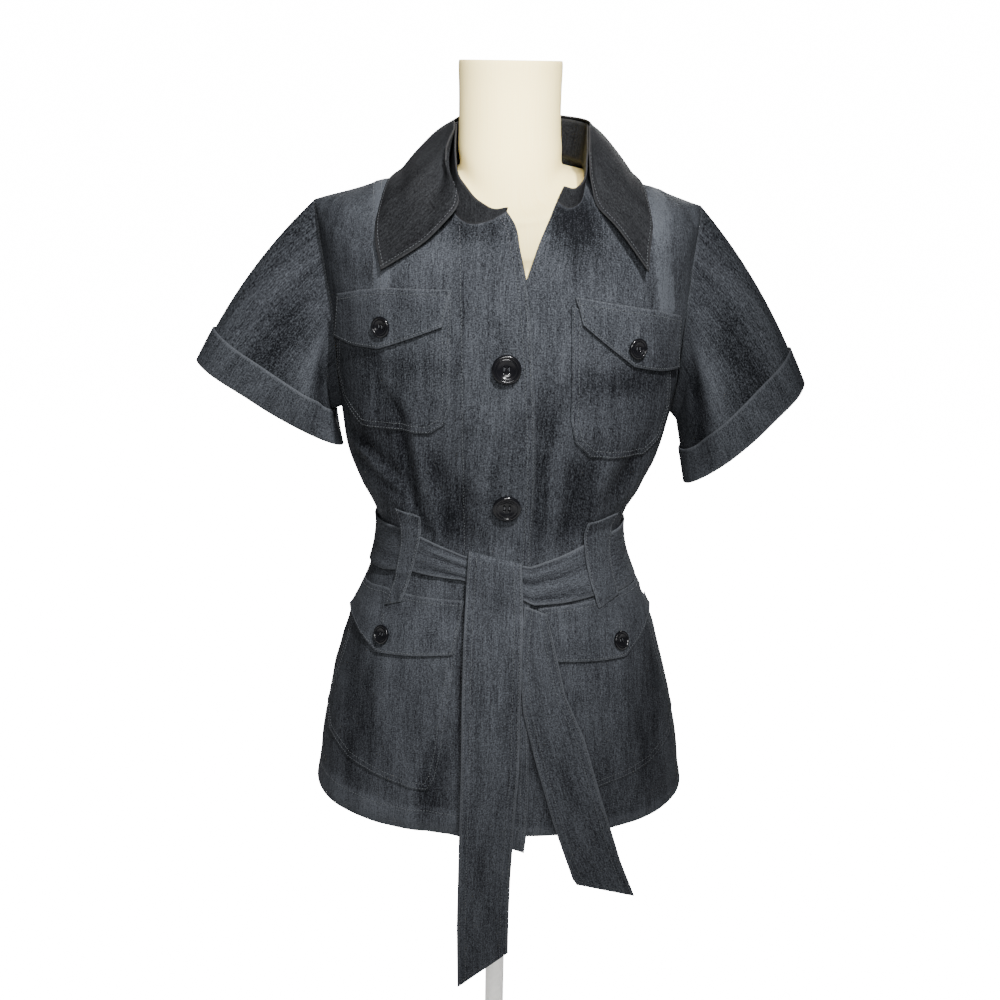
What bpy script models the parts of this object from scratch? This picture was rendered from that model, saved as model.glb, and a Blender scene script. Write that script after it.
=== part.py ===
"""Safari jacket on a limbless dress form, at life size.

Metres, +Z up, the origin on the floor under the middle of the base. The jacket faces -Y.
Wearer's right is -X. Tables hold millimetres, and MM turns them into metres.

The body is one smooth surface: rings stacked from the hem to the neck. Each front and the back is
a patch of that surface, and every pocket, flap, loop and belt is made from its points, moved out.
"""
import math

import bmesh
import bpy
import numpy as np
from mathutils import Vector
from mathutils.bvhtree import BVHTree

MM = 0.001
SHARP_FROM = math.radians(40)

CLOTH = 1.4 * MM
POCKET_CLOTH = 1.2 * MM
COLLAR_CLOTH = 1.6 * MM
BELT_CLOTH = 1.8 * MM
SEAM_GAP = 0.35 * MM
LAY_GAP = 0.55 * MM

HEM = 463
ARMPIT = 880
SHOULDER_TIP = 1088
NECK = 1214

# Rings of the jacket, bottom to top. "height" counts up the side seam to the shoulder tip and then
# along the shoulder to the neck; side, front and back are where the ring crosses those lines.
RING_COLUMNS = ("height", "half_width", "shift", "front", "back", "side_z", "front_z", "back_z", "square")
JACKET_RINGS = (
    (430, 210, 0, 147, 143, 430, 430, 430, 2.30),
    (HEM, 203, 1, 143, 139, 463, 463, 463, 2.30),
    (520, 195, 1, 138, 134, 520, 520, 520, 2.25),
    (600, 178, 0, 130, 122, 600, 600, 600, 2.20),
    (665, 158, 0, 119, 108, 665, 665, 665, 2.15),
    (705, 140, -1, 108, 97, 705, 705, 705, 2.15),
    (740, 130, -2, 102, 90, 740, 740, 740, 2.15),
    (770, 129, -2, 102, 90, 770, 770, 770, 2.15),
    (805, 145, -1, 109, 96, 805, 805, 805, 2.20),
    (842, 160, 0, 117, 103, 842, 842, 842, 2.20),
    (ARMPIT, 167, 2, 123, 108, 880, 880, 880, 2.20),
    (945, 175, 4, 128, 111, 945, 932, 942, 2.15),
    (1010, 182, 3, 125, 109, 1010, 980, 993, 2.05),
    (SHOULDER_TIP, 189, 1, 115, 98, 1088, 1036, 1056, 1.90),
    (1150, 128, 5, 107, 82, 1107, 1064, 1102, 1.90),
    (NECK, 65, 9, 97, 60, 1125, 1092, 1136, 2.00),
)

# Front edges as (x, z), from the hem to the top corner.
OVER_EDGE = ((28, 446), (30, 470), (30, 600), (29, 760), (31, 814), (27, 940), (24, 978), (18, 1030),
             (12, 1056), (7, 1078), (0, 1089))
UNDER_EDGE = ((-22, 463), (-22, 600), (-22, 760), (-22, 900), (-14, 950), (3, 1000), (18, 1032),
              (31, 1066), (39, 1084), (46, 1098))

# Necklines of the fronts as (x, z), from the shoulder's inner end to the front corner.
OVER_NECKLINE = ((-56, 1125), (-54, 1104), (-47, 1085), (-33, 1077), (-14, 1081), (0, 1089))
UNDER_NECKLINE = ((74, 1125), (73, 1110), (67, 1096), (57, 1092), (46, 1098))

# Folds as lines on the jacket: a valley has a positive depth and a ridge a negative one.
FOLD_COLUMNS = ("x0", "z0", "x1", "z1", "width", "depth")
FRONT_FOLDS = (
    (-118, 905, -86, 800, 15, 4.0),
    (-62, 860, -48, 775, 12, 3.5),
    (-36, 835, -34, 765, 10, 2.5),
    (-140, 870, -96, 830, 12, 3.0),
    (42, 905, 38, 780, 12, 3.0),
    (80, 860, 66, 770, 13, 3.0),
    (130, 850, 98, 800, 13, 3.0),
    (-150, 640, -160, 500, 18, 3.0),
    (-58, 560, -72, 470, 14, 3.0),
    (75, 560, 82, 470, 15, 3.0),
    (150, 640, 160, 500, 18, 3.0),
)
BACK_FOLDS = (
    (0, 860, 0, 775, 16, 4.0),
    (-60, 850, -48, 775, 14, 3.5),
    (62, 850, 50, 775, 14, 3.5),
    (-118, 870, -90, 790, 15, 3.0),
    (118, 870, 90, 790, 15, 3.0),
    (0, 660, 0, 480, 24, 4.0),
    (-90, 640, -110, 480, 20, 4.0),
    (90, 640, 110, 480, 20, 4.0),
)


def table(rows, columns):
    """Turns rows of a table into one array for each named column."""
    return dict(zip(columns, np.array(rows, float).T))


def curve_through(knots, values, at):
    """A smooth curve through the values at the knots, read at the given places."""
    slopes = np.gradient(values, knots)
    index = np.clip(np.searchsorted(knots, at) - 1, 0, len(knots) - 2)
    step = knots[index + 1] - knots[index]
    part = (at - knots[index]) / step
    rise = values[index + 1] - values[index]
    start_slope = slopes[index] * step
    end_slope = slopes[index + 1] * step
    square, cube = part ** 2, part ** 3
    return (values[index] + part * start_slope + square * (3 * rise - 2 * start_slope - end_slope)
            + cube * (start_slope + end_slope - 2 * rise))


def ring_sizes(height):
    """The ring's columns at any height; the curve has its one corner at the shoulder tip."""
    columns = table(JACKET_RINGS, RING_COLUMNS)
    knots = columns["height"]
    corner = int(np.searchsorted(knots, SHOULDER_TIP))
    sizes = {}
    for name, values in columns.items():
        below = curve_through(knots[:corner + 1], values[:corner + 1], np.minimum(height, SHOULDER_TIP))
        above = curve_through(knots[corner:], values[corner:], np.maximum(height, SHOULDER_TIP))
        sizes[name] = np.where(height <= SHOULDER_TIP, below, above)
    return sizes


def ring_point(angle, height):
    """A point of the body: angle 0 is the centre front, 90 degrees the wearer's left side."""
    size = ring_sizes(height)
    sine, cosine = np.sin(angle), np.cos(angle)
    power = 2 / size["square"]
    depth = np.where(cosine > 0, size["front"], size["back"])
    centre_z = np.where(cosine > 0, size["front_z"], size["back_z"])
    x = size["shift"] + size["half_width"] * np.sign(sine) * np.abs(sine) ** power
    y = -np.sign(cosine) * depth * np.abs(cosine) ** power
    z = size["side_z"] + (centre_z - size["side_z"]) * cosine ** 2
    return np.stack((x, y, z), -1) * MM


def ring_normal(angle, height):
    """The outward direction of the body at a point."""
    turn, climb = math.radians(1.5), 1.0
    across = ring_point(angle + turn, height) - ring_point(angle - turn, height)
    up = ring_point(angle, height + climb) - ring_point(angle, height - climb)
    normal = np.cross(across, up)
    return normal / np.linalg.norm(normal, axis=-1, keepdims=True)


def fold_height(points, folds):
    """How far the folds move each point out; lines of folds fade at both ends."""
    x, z = points[..., 0] / MM, points[..., 2] / MM
    height = np.zeros(x.shape)
    for row in folds:
        fold = dict(zip(FOLD_COLUMNS, row))
        dx, dz = fold["x1"] - fold["x0"], fold["z1"] - fold["z0"]
        length = math.hypot(dx, dz)
        along = ((x - fold["x0"]) * dx + (z - fold["z0"]) * dz) / length
        aside = ((x - fold["x0"]) * dz - (z - fold["z0"]) * dx) / length
        beyond = np.maximum(0, np.abs(along - length / 2) - length / 4) / (length / 3)
        height -= fold["depth"] * np.exp(-(aside / fold["width"]) ** 2 - beyond ** 2)
    return height * MM


SEAM_FADE = 0.3


def body_points(angle, height, folds):
    """Points of the cloth's outer face with the folds, which fade at the side seams, and their
    outward directions."""
    points = ring_point(angle, height)
    normals = ring_normal(angle, height)
    seam_fade = np.clip(np.abs(np.cos(angle)) / SEAM_FADE, 0, 1) ** 2
    return points + normals * (fold_height(points, folds) * seam_fade)[..., None], normals


SEARCH_STEPS = 60
LONGEST_TURN = 0.1
LONGEST_CLIMB = 12


def on_body(x, z):
    """The angle and height of the spot on the body's front that has this x and z (millimetres)."""
    x, z = np.asarray(x, float), np.asarray(z, float)
    height = np.clip(z, JACKET_RINGS[0][0] + 1, NECK - 1)
    size = ring_sizes(height)
    reach = np.clip((x - size["shift"]) / size["half_width"], -0.98, 0.98)
    angle = np.arcsin(reach)
    turn, climb = math.radians(0.5), 0.5
    limit = math.radians(90)
    for _ in range(SEARCH_STEPS):
        here = ring_point(angle, height)[..., (0, 2)] / MM
        by_turn = (ring_point(angle + turn, height)[..., (0, 2)] / MM - here) / turn
        by_climb = (ring_point(angle, height + climb)[..., (0, 2)] / MM - here) / climb
        miss_x, miss_z = x - here[..., 0], z - here[..., 1]
        size = by_turn[..., 0] * by_climb[..., 1] - by_turn[..., 1] * by_climb[..., 0]
        size = np.where(np.abs(size) < 1e-3, 1e-3, size)
        step_turn = (miss_x * by_climb[..., 1] - miss_z * by_climb[..., 0]) / size
        step_climb = (miss_z * by_turn[..., 0] - miss_x * by_turn[..., 1]) / size
        angle = np.clip(angle + np.clip(step_turn, -LONGEST_TURN, LONGEST_TURN), -limit, limit)
        height = height + np.clip(step_climb, -LONGEST_CLIMB, LONGEST_CLIMB)
        height = np.clip(height, JACKET_RINGS[0][0], NECK)
    return np.stack((angle, height), -1)


def lengths_along(points):
    """How far along a line of points each one lies, as a share of the whole length."""
    steps = np.linalg.norm(np.diff(points, axis=0), axis=1)
    reached = np.concatenate(([0], np.cumsum(steps)))
    return reached / reached[-1]


def along(points, fractions):
    """Reads a line of points at fractions of its length."""
    points = np.array(points, float)
    reached = lengths_along(points)
    return np.stack([np.interp(fractions, reached, column) for column in points.T], -1)


def smooth_along(points, fractions):
    """Reads a smooth curve through a line of points at fractions of its length."""
    points = np.array(points, float)
    reached = lengths_along(points)
    fractions = np.asarray(fractions, float)
    return np.stack([curve_through(reached, column, fractions) for column in points.T], -1)


def fill_between(left, right, bottom, top):
    """A grid whose four sides are the given lines of angles and heights."""
    rows, columns = len(left), len(bottom)
    s = np.linspace(0, 1, columns)[None, :, None]
    t = np.linspace(0, 1, rows)[:, None, None]
    sides = (1 - s) * left[:, None] + s * right[:, None]
    straight_bottom = (1 - s) * bottom[0] + s * bottom[-1]
    straight_top = (1 - s) * top[0] + s * top[-1]
    return sides + (1 - t) * (bottom[None] - straight_bottom) + t ** 3 * (top[None] - straight_top)


def grid_normals(grid, closed=False):
    """The outward direction at every point of a grid; rows go up and columns go anticlockwise."""
    if closed:
        across = np.roll(grid, -1, 1) - np.roll(grid, 1, 1)
    else:
        across = np.gradient(grid, axis=1)
    normals = np.cross(across, np.gradient(grid, axis=0))
    return normals / np.maximum(np.linalg.norm(normals, axis=-1, keepdims=True), 1e-9)


def grid_faces(rows, columns, closed, start=0, flip=False):
    """Triangles between the points of a grid, split the same way on both sides of a wall."""
    faces = []
    for row in range(rows - 1):
        for column in range(columns if closed else columns - 1):
            beside = (column + 1) % columns
            low, low_next = start + row * columns + column, start + row * columns + beside
            high, high_next = low + columns, low_next + columns
            for face in ((low, low_next, high_next), (low, high_next, high)):
                faces.append(face[::-1] if flip else face)
    return faces


def tree_of(grid, closed=False):
    """A search tree of a grid's faces, for laying other pieces on it."""
    rows, columns = grid.shape[:2]
    return BVHTree.FromPolygons([Vector(p) for p in grid.reshape(-1, 3)], grid_faces(rows, columns, closed))


def look(name, colour, roughness):
    """A plain material."""
    material = bpy.data.materials.new(name)
    material.use_nodes = True
    shader = material.node_tree.nodes["Principled BSDF"]
    shader.inputs["Base Color"].default_value = (*colour, 1)
    shader.inputs["Roughness"].default_value = roughness
    return material


def add_object(name, points, faces, material):
    """One named object from points and faces, its faces turned outward."""
    mesh = bpy.data.meshes.new(name)
    mesh.from_pydata([tuple(p) for p in points], [], faces)
    mesh.validate()
    work = bmesh.new()
    work.from_mesh(mesh)
    bmesh.ops.recalc_face_normals(work, faces=work.faces)
    if work.calc_volume(signed=True) < 0:
        bmesh.ops.reverse_faces(work, faces=work.faces)
    work.to_mesh(mesh)
    work.free()
    mesh.shade_smooth()
    mesh.set_sharp_from_angle(angle=SHARP_FROM)
    mesh.materials.append(material)
    item = bpy.data.objects.new(name, mesh)
    bpy.context.scene.collection.objects.link(item)
    return item


def wall(name, outer, inner, material, closed=False):
    """A cloth wall between an outer and an inner grid, closed by its rims."""
    rows, columns = outer.shape[:2]
    count = rows * columns
    faces = grid_faces(rows, columns, closed) + grid_faces(rows, columns, closed, count, True)
    for row in (0, rows - 1):
        for column in range(columns if closed else columns - 1):
            beside = (column + 1) % columns
            rim = [row * columns + column, row * columns + beside]
            faces.append([rim[0], rim[1], rim[1] + count, rim[0] + count])
    if not closed:
        for column in (0, columns - 1):
            for row in range(rows - 1):
                rim = [row * columns + column, (row + 1) * columns + column]
                faces.append([rim[0], rim[1], rim[1] + count, rim[0] + count])
    points = np.concatenate((outer.reshape(-1, 3), inner.reshape(-1, 3)))
    return add_object(name, points, faces, material)


def stack(name, rings, material):
    """A solid with flat ends from a stack of rings."""
    rings = np.array(rings)
    rows, columns = rings.shape[:2]
    faces = grid_faces(rows, columns, True)
    faces.append(list(range(columns))[::-1])
    faces.append([(rows - 1) * columns + column for column in range(columns)])
    return add_object(name, rings.reshape(-1, 3), faces, material)


def height_over(spot, normal, carriers):
    """How high a spot lies over the pieces below it, measured along a direction."""
    start = Vector(spot) + Vector(normal) * REACH
    highest = -REACH
    for tree in carriers:
        hit = tree.ray_cast(start, -Vector(normal), 2 * REACH)
        if hit[0] is not None:
            highest = max(highest, REACH - hit[3])
    return -highest if highest > -REACH else None


def shares_of(over, up):
    """How much of a cell's four corners (low, low next, high next, high) a spot in it takes."""
    if over >= up:
        return 1 - over, over - up, up, 0.0
    return 1 - up, 0.0, over, up - over


SETTLE_ROUNDS = 8
SETTLED = 0.02 * MM
CELL_SHARES = (0.0, 0.25, 0.5, 0.75, 1.0)
REACH = 15 * MM
IN_FRONT = -0.5


def settle(grid, carriers, gap, closed=False, facing=1):
    """Moves a grid out until every spot of it lies at least a gap over what carries it.

    With facing -1 it moves in instead, under what lies over it."""
    spots = [shares_of(over, up) for over in CELL_SHARES for up in CELL_SHARES]
    rows, columns = grid.shape[:2]
    normals = grid_normals(grid, closed) * facing
    for _ in range(SETTLE_ROUNDS):
        push = np.zeros((rows, columns))
        for row in range(rows - 1):
            for column in range(columns if closed else columns - 1):
                beside = (column + 1) % columns
                corners = ((row, column), (row, beside), (row + 1, beside), (row + 1, column))
                for shares in spots:
                    spot = sum(share * grid[corner] for share, corner in zip(shares, corners))
                    normal = sum(share * normals[corner] for share, corner in zip(shares, corners))
                    normal = normal / max(np.linalg.norm(normal), 1e-9)
                    height = height_over(spot, normal, carriers)
                    if height is not None and height < gap:
                        for share, corner in zip(shares, corners):
                            if share > 0:
                                push[corner] = max(push[corner], gap - height)
        if push.max() < SETTLED:
            break
        grid = grid + normals * push[..., None]
    return grid


def drop(x, z, carriers):
    """The spot where a point before the body meets the nearest piece behind it, in metres."""
    nearest = None
    for tree in carriers:
        hit = tree.ray_cast(Vector((x, IN_FRONT, z)), Vector((0, 1, 0)), 1.0)
        if hit[0] is not None and (nearest is None or hit[3] < nearest[3]):
            nearest = hit
    return None if nearest is None else nearest[0]


def patch(name, top, bottom, rows, splits, carriers, out, thickness, material, strip=False):
    """A piece of cloth between two outlines of (x, z), made from the body's points moved out.

    A strip runs straight along the body's surface; other pieces run straight as seen from the front."""
    steps = np.concatenate([side + np.arange(count) / count for side, count in enumerate(splits)])
    steps = np.append(steps, len(top) - 1)
    marks = np.arange(len(top))
    top_line = np.stack([np.interp(steps, marks, c) for c in np.array(top, float).T], -1)
    bottom_line = np.stack([np.interp(steps, marks, c) for c in np.array(bottom, float).T], -1)
    share = np.linspace(0, 1, rows + 1)[:, None, None]
    if strip:
        top_line, bottom_line = on_body(*top_line.T), on_body(*bottom_line.T)
    spots = bottom_line[None] * (1 - share) + top_line[None] * share
    if not strip:
        spots = on_body(spots[..., 0], spots[..., 1])
    points, normals = body_points(spots[..., 0], spots[..., 1], FRONT_FOLDS)
    inner = settle(points + normals * out, carriers, LAY_GAP)
    outer = inner + grid_normals(inner) * thickness
    wall(name, outer, inner, material)
    return tree_of(outer)


LOWER_ROWS = (HEM, 500, 545, 590, 635, 675, 710, 740, 770, 805, 842, ARMPIT)
ARMHOLE_STEPS = 11
SHOULDER_STEPS = 6
NECKLINE_STEPS = 11
BACK_NECK_STEPS = 12
ARMHOLE_REACH_FRONT = math.radians(16)
ARMHOLE_REACH_BACK = math.radians(14)
LAP_LIFT = 2.9 * MM
LAP_FROM = -52
LAP_RUN = 24
DROOP_FROM = 0.8


def side_line(side_angle, inward, reach):
    """The side seam and then the armhole, as angles and heights."""
    seam = [(side_angle, height) for height in LOWER_ROWS]
    for step in range(1, ARMHOLE_STEPS + 1):
        share = step / ARMHOLE_STEPS
        turn = inward * reach * math.sin(math.pi * share) ** 0.75
        seam.append((side_angle + turn, ARMPIT + (SHOULDER_TIP - ARMPIT) * share))
    return np.array(seam)


def shoulder_line(side_angle):
    """The shoulder seam from its tip to the neck."""
    return np.array([(side_angle, height) for height in np.linspace(SHOULDER_TIP, NECK, SHOULDER_STEPS + 1)])


def edge_line(edge, low):
    """The front edge, with one point for each row of the grid."""
    edge = np.array(edge, float)
    lower = np.array(LOWER_ROWS, float)
    lower[0] = low
    upper = np.linspace(ARMPIT, edge[-1, 1], ARMHOLE_STEPS + 1)[1:]
    heights = np.concatenate((lower, upper))
    return on_body(np.interp(heights, edge[:, 1], edge[:, 0]), heights)


def front_grid(side, edge, neckline):
    """Angles and heights of a front, from its side seam to its front edge."""
    side_angle = side * math.pi / 2
    left = side_line(side_angle, -side, ARMHOLE_REACH_FRONT)
    right = edge_line(edge, edge[0][1])
    neck = along(neckline, np.linspace(0, 1, NECKLINE_STEPS + 1)[1:])
    top = np.concatenate((shoulder_line(side_angle), on_body(neck[:, 0], neck[:, 1])))
    top[-1] = right[-1]
    share = np.linspace(0, 1, len(top))
    droop = np.clip((share - DROOP_FROM) / (1 - DROOP_FROM), 0, 1) ** 2 * (edge[0][1] - HEM)
    bottom = np.stack((side_angle + (right[0, 0] - side_angle) * share, HEM + droop), -1)
    bottom[-1] = right[0]
    return fill_between(left, right, bottom, top)


def back_grid():
    """Angles and heights of the back, from the wearer's left side seam to the right one."""
    left = side_line(math.pi / 2, 1, ARMHOLE_REACH_BACK)
    right = side_line(3 * math.pi / 2, -1, ARMHOLE_REACH_BACK)
    turns = np.linspace(math.pi / 2, 3 * math.pi / 2, BACK_NECK_STEPS + 1)[1:-1]
    neck = np.stack((turns, np.full(turns.shape, NECK)), -1)
    top = np.concatenate((shoulder_line(math.pi / 2), neck, shoulder_line(3 * math.pi / 2)[::-1]))
    turns = np.linspace(math.pi / 2, 3 * math.pi / 2, len(top))
    bottom = np.stack((turns, np.full(turns.shape, HEM)), -1)
    return fill_between(left, right, bottom, top)


def panel(name, grid, folds, aside, lift, material):
    """A body panel as a wall; returns its outer and inner points."""
    points, normals = body_points(grid[..., 0], grid[..., 1], folds)
    points = points + normals * lift(points)[..., None] + np.array((0, aside, 0))
    inner = points - normals * CLOTH
    wall(name, points, inner, material)
    return points, inner


def no_lift(points):
    return np.zeros(points.shape[:-1])


def lap_lift(points):
    """The over front rises over the under front's edge, and lies level from there to its own edge."""
    rise = np.clip((points[..., 0] / MM - LAP_FROM) / LAP_RUN, 0, 1)
    return LAP_LIFT * rise * rise * (3 - 2 * rise)


def beyond_edge(outer, inner, towards, gap):
    """Moves the two lines of a panel's edge off it by a gap, along the panel's own surface."""
    tangent = np.gradient(outer, axis=0)
    away = np.cross(tangent, outer - inner)
    away /= np.linalg.norm(away, axis=-1, keepdims=True)
    away *= np.sign(np.sum(away * (towards - outer), axis=-1, keepdims=True))
    return outer + away * gap, inner + away * gap


def armhole(front, back_side):
    """The armhole's edge from its top, down the front and up the back; outer and inner lines."""
    lines = []
    for front_points, back_points in zip(front, back_side):
        down = front_points[::-1]
        middle_top = (down[0] + back_points[-1]) / 2
        middle_low = (down[-1] + back_points[0]) / 2
        lines.append(np.concatenate(([middle_top], down[1:-1], [middle_low], back_points[1:-1])))
    return lines


SLEEVE_COLUMNS = ("outer_x", "outer_z", "inner_x", "inner_z", "middle_y", "front_depth", "back_depth",
                  "top_bulge", "low_bulge")
SLEEVES = {
    "sleeve_right": (-309, 929, -167, 843, -10, 30, 30, 9, 12),
    "sleeve_left": (302, 916, 190, 809, -10, 44, 36, 9, 6),
}
CUFF_HEIGHT = 35 * MM
LEAST_SLEEVE = 0.45
CUFF_GAP = 0.7 * MM
UNDERARM_GAP = 1.0 * MM
CUFF_CLOTH = 1.6 * MM
SLEEVE_HEAD = 0.12
UNDERARM_FROM = 0.3
# How much of the sleeve's bulge goes outward and up, and how far it goes to the front and back.
BULGE_OUT = 0.68
BULGE_UP = 0.73
BULGE_DEPTH = 6
SLEEVE_STEPS = (0, SLEEVE_HEAD, 0.35, 0.65, 1)
CUFF_STEPS = (0.5, 1.0)


def outward(grid, closed=True):
    """Directions away from the middle of a tube's rings."""
    normals = grid_normals(grid, closed)
    middle = grid.mean(axis=1, keepdims=True)
    return normals * np.sign(np.mean(np.sum(normals * (grid - middle), axis=-1)))


def sleeve(name, edge, cloth):
    """A sleeve from the armhole's edge to its hem, and its turned-up cuff."""
    size = dict(zip(SLEEVE_COLUMNS, SLEEVES[name]))
    start, start_inner = beyond_edge(*edge, edge[0].mean(axis=0), SEAM_GAP)
    turn = np.arange(len(start)) * 2 * math.pi / len(start)
    cosine, sine = np.cos(turn), np.sin(turn)
    panel_faces = edge[0] - edge[1]
    panel_faces /= np.linalg.norm(panel_faces, axis=-1, keepdims=True)
    start = start + panel_faces * (np.clip(UNDERARM_FROM - cosine, 0, 1) * UNDERARM_GAP)[:, None]
    side = np.sign(size["outer_x"])
    depth = np.where(sine > 0, size["front_depth"], size["back_depth"])
    hem = np.stack((
        (size["outer_x"] + size["inner_x"]) / 2 + (size["outer_x"] - size["inner_x"]) / 2 * cosine,
        size["middle_y"] - depth * sine,
        (size["outer_z"] + size["inner_z"]) / 2 + (size["outer_z"] - size["inner_z"]) / 2 * cosine), -1) * MM
    top, low = np.maximum(cosine, 0), np.maximum(-cosine, 0)
    puff = size["top_bulge"] * top
    bulge = np.stack((side * BULGE_OUT * puff, -BULGE_DEPTH * sine, BULGE_UP * puff), -1) * MM
    underarm = np.stack((side * size["low_bulge"] * low, 0 * low, 0 * low), -1) * MM

    def at(share):
        arch = (4 * share * (1 - share))[:, None]
        step_out = (np.minimum(share / SLEEVE_HEAD, 1) * (1 - share))[:, None]
        return start + (hem - start) * share[:, None] + bulge * arch + underarm * step_out

    length = np.linalg.norm(hem - start, axis=-1)
    cuff_start = np.maximum(1 - CUFF_HEIGHT / length, LEAST_SLEEVE)
    shares = [cuff_start * step for step in SLEEVE_STEPS]
    shares += [cuff_start + (1 - cuff_start) * step for step in CUFF_STEPS]
    outer = np.stack([at(share) for share in shares])
    normals = outward(outer)
    inner = outer - normals * CLOTH
    follows = np.clip((np.sum(panel_faces * normals[0], axis=-1) + 0.1) / 0.5, 0, 1)[:, None]
    inner[0] += (start_inner - inner[0]) * follows
    wall(name, outer, inner, cloth, closed=True)
    cuff = outer[len(SLEEVE_STEPS) - 1:]
    cuff_normals = normals[len(SLEEVE_STEPS) - 1:]
    cuff_inner = cuff + cuff_normals * CUFF_GAP
    beyond = cuff[-1] - cuff[-2]
    cuff_inner[-1] += beyond / np.linalg.norm(beyond, axis=-1, keepdims=True) * MM
    cuff_outer = cuff_inner + cuff_normals * CUFF_CLOTH
    wall(name.replace("sleeve", "cuff"), cuff_outer, cuff_inner, cloth, closed=True)


# The neck band's top edge, as a shift from its seam; shares count from the over front's corner.
STAND_COLUMNS = ("share", "dx", "dy", "dz")
STAND_TOP = (
    (0.000, 1, 0, 3),
    (0.036, 1, 1, 10),
    (0.060, 1, 2, 19),
    (0.090, 2, 3, 29),
    (0.160, 4, 7, 32),
    (0.230, 5, 8, 35),
    (0.310, 5, 3, 37),
    (0.430, 1, -3, 35),
    (0.550, 3, 0, 30),
    (0.670, 6, -3, 34),
    (0.790, 3, 0, 36),
    (0.860, 2, -1, 26),
    (0.900, 2, -2, 20),
    (1.000, 6, 3, 14),
)

# The collar's fall: each row is one line from the roll to the outer edge.
LEAF_COLUMNS = ("share", "x1", "y1", "z1", "x2", "y2", "z2", "x3", "y3", "z3")
LEAF_LINES = (
    (0.215, -48, -74, 1096, -78, -97, 1070, -115, -98, 1035),
    (0.250, -57, -60, 1113, -88, -86, 1086, -118, -88, 1053),
    (0.290, -65, -36, 1135, -92, -58, 1112, -113, -62, 1080),
    (0.335, -70, 0, 1150, -90, 0, 1132, -106, -8, 1112),
    (0.420, -62, 38, 1155, -82, 42, 1130, -97, 48, 1101),
    (0.490, -30, 66, 1156, -44, 78, 1128, -54, 88, 1096),
    (0.550, 12, 74, 1156, 12, 86, 1126, 12, 95, 1092),
    (0.610, 54, 66, 1156, 68, 78, 1128, 78, 88, 1096),
    (0.680, 86, 38, 1155, 106, 42, 1130, 121, 48, 1101),
    (0.765, 92, 0, 1148, 110, 0, 1130, 124, -8, 1112),
    (0.810, 90, -33, 1132, 112, -54, 1110, 130, -60, 1078),
    (0.850, 84, -56, 1110, 108, -80, 1083, 132, -84, 1052),
    (0.885, 80, -66, 1098, 104, -92, 1072, 131, -97, 1037),
)
ROLL_OVER = 2.6 * MM
STAND_STEPS = 4
LEAF_STEPS = 6
LEAF_BETWEEN = 2


def neck_seam(over, back, under):
    """The neck seam from the over front's corner round to the under front's; outer and inner lines."""
    lines = []
    for over_points, back_points, under_points in zip(over, back, under):
        left = over_points[-1, SHOULDER_STEPS:][::-1]
        rear = back_points[-1, SHOULDER_STEPS:-SHOULDER_STEPS][::-1]
        right = under_points[-1, SHOULDER_STEPS:]
        lines.append(np.concatenate((left[:-1], [(left[-1] + rear[0]) / 2], rear[1:-1],
                                     [(rear[-1] + right[0]) / 2], right[1:])))
    return lines


def collar(seam, carriers, cloth):
    """The neck band and the fall that turns over it."""
    middle = np.array((9, 0, 1200)) * MM
    base, base_inner = beyond_edge(*seam, middle, SEAM_GAP)
    share = lengths_along(base)
    top_table = table(STAND_TOP, STAND_COLUMNS)
    shift = [np.interp(share, top_table["share"], top_table[column]) for column in ("dx", "dy", "dz")]
    shift = np.stack(shift, -1) * MM
    top = base + shift
    climb = np.linspace(0, 1, STAND_STEPS)[:, None, None]
    outer = base[None] * (1 - climb) + top[None] * climb
    normals = grid_normals(outer[:, ::-1])[:, ::-1]
    inner = outer - normals * COLLAR_CLOTH
    inner[0] = base_inner
    wall("collar_stand", outer, inner, cloth)

    leaf_table = table(LEAF_LINES, LEAF_COLUMNS)
    roll = np.stack([np.interp(leaf_table["share"], share, c) for c in top.T], -1)
    roll[:, 2] += ROLL_OVER
    lines = [roll] + [np.stack([leaf_table[f"{axis}{n}"] for axis in "xyz"], -1) * MM for n in (1, 2, 3)]
    lines = np.stack(lines)
    down = np.linspace(0, 1, LEAF_STEPS + 1)
    falls = np.stack([smooth_along(lines[:, n], down) for n in range(lines.shape[1])], 1)
    marks = np.arange(falls.shape[1], dtype=float)
    places = np.linspace(0, marks[-1], (len(marks) - 1) * LEAF_BETWEEN + 1)
    leaf = [[curve_through(marks, column, places) for column in row.T] for row in falls]
    leaf = np.swapaxes(np.array(leaf), 1, 2)
    leaf = leaf[::-1, ::-1]
    leaf = settle(leaf, carriers + [tree_of(outer)], LAY_GAP)
    leaf_outer = leaf + grid_normals(leaf) * COLLAR_CLOTH
    wall("collar_leaf", leaf_outer, leaf, cloth)
    return tree_of(inner)


# A button's outline from its underside's middle to its face: share of the radius, share of the height.
BUTTON_OUTLINE = ((0.90, 0.00), (1.00, 0.30), (0.98, 0.80), (0.88, 1.00), (0.76, 0.92), (0.66, 0.62))
BUTTON_SIDES = 16
BUTTON_GAP = 0.3 * MM


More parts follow.
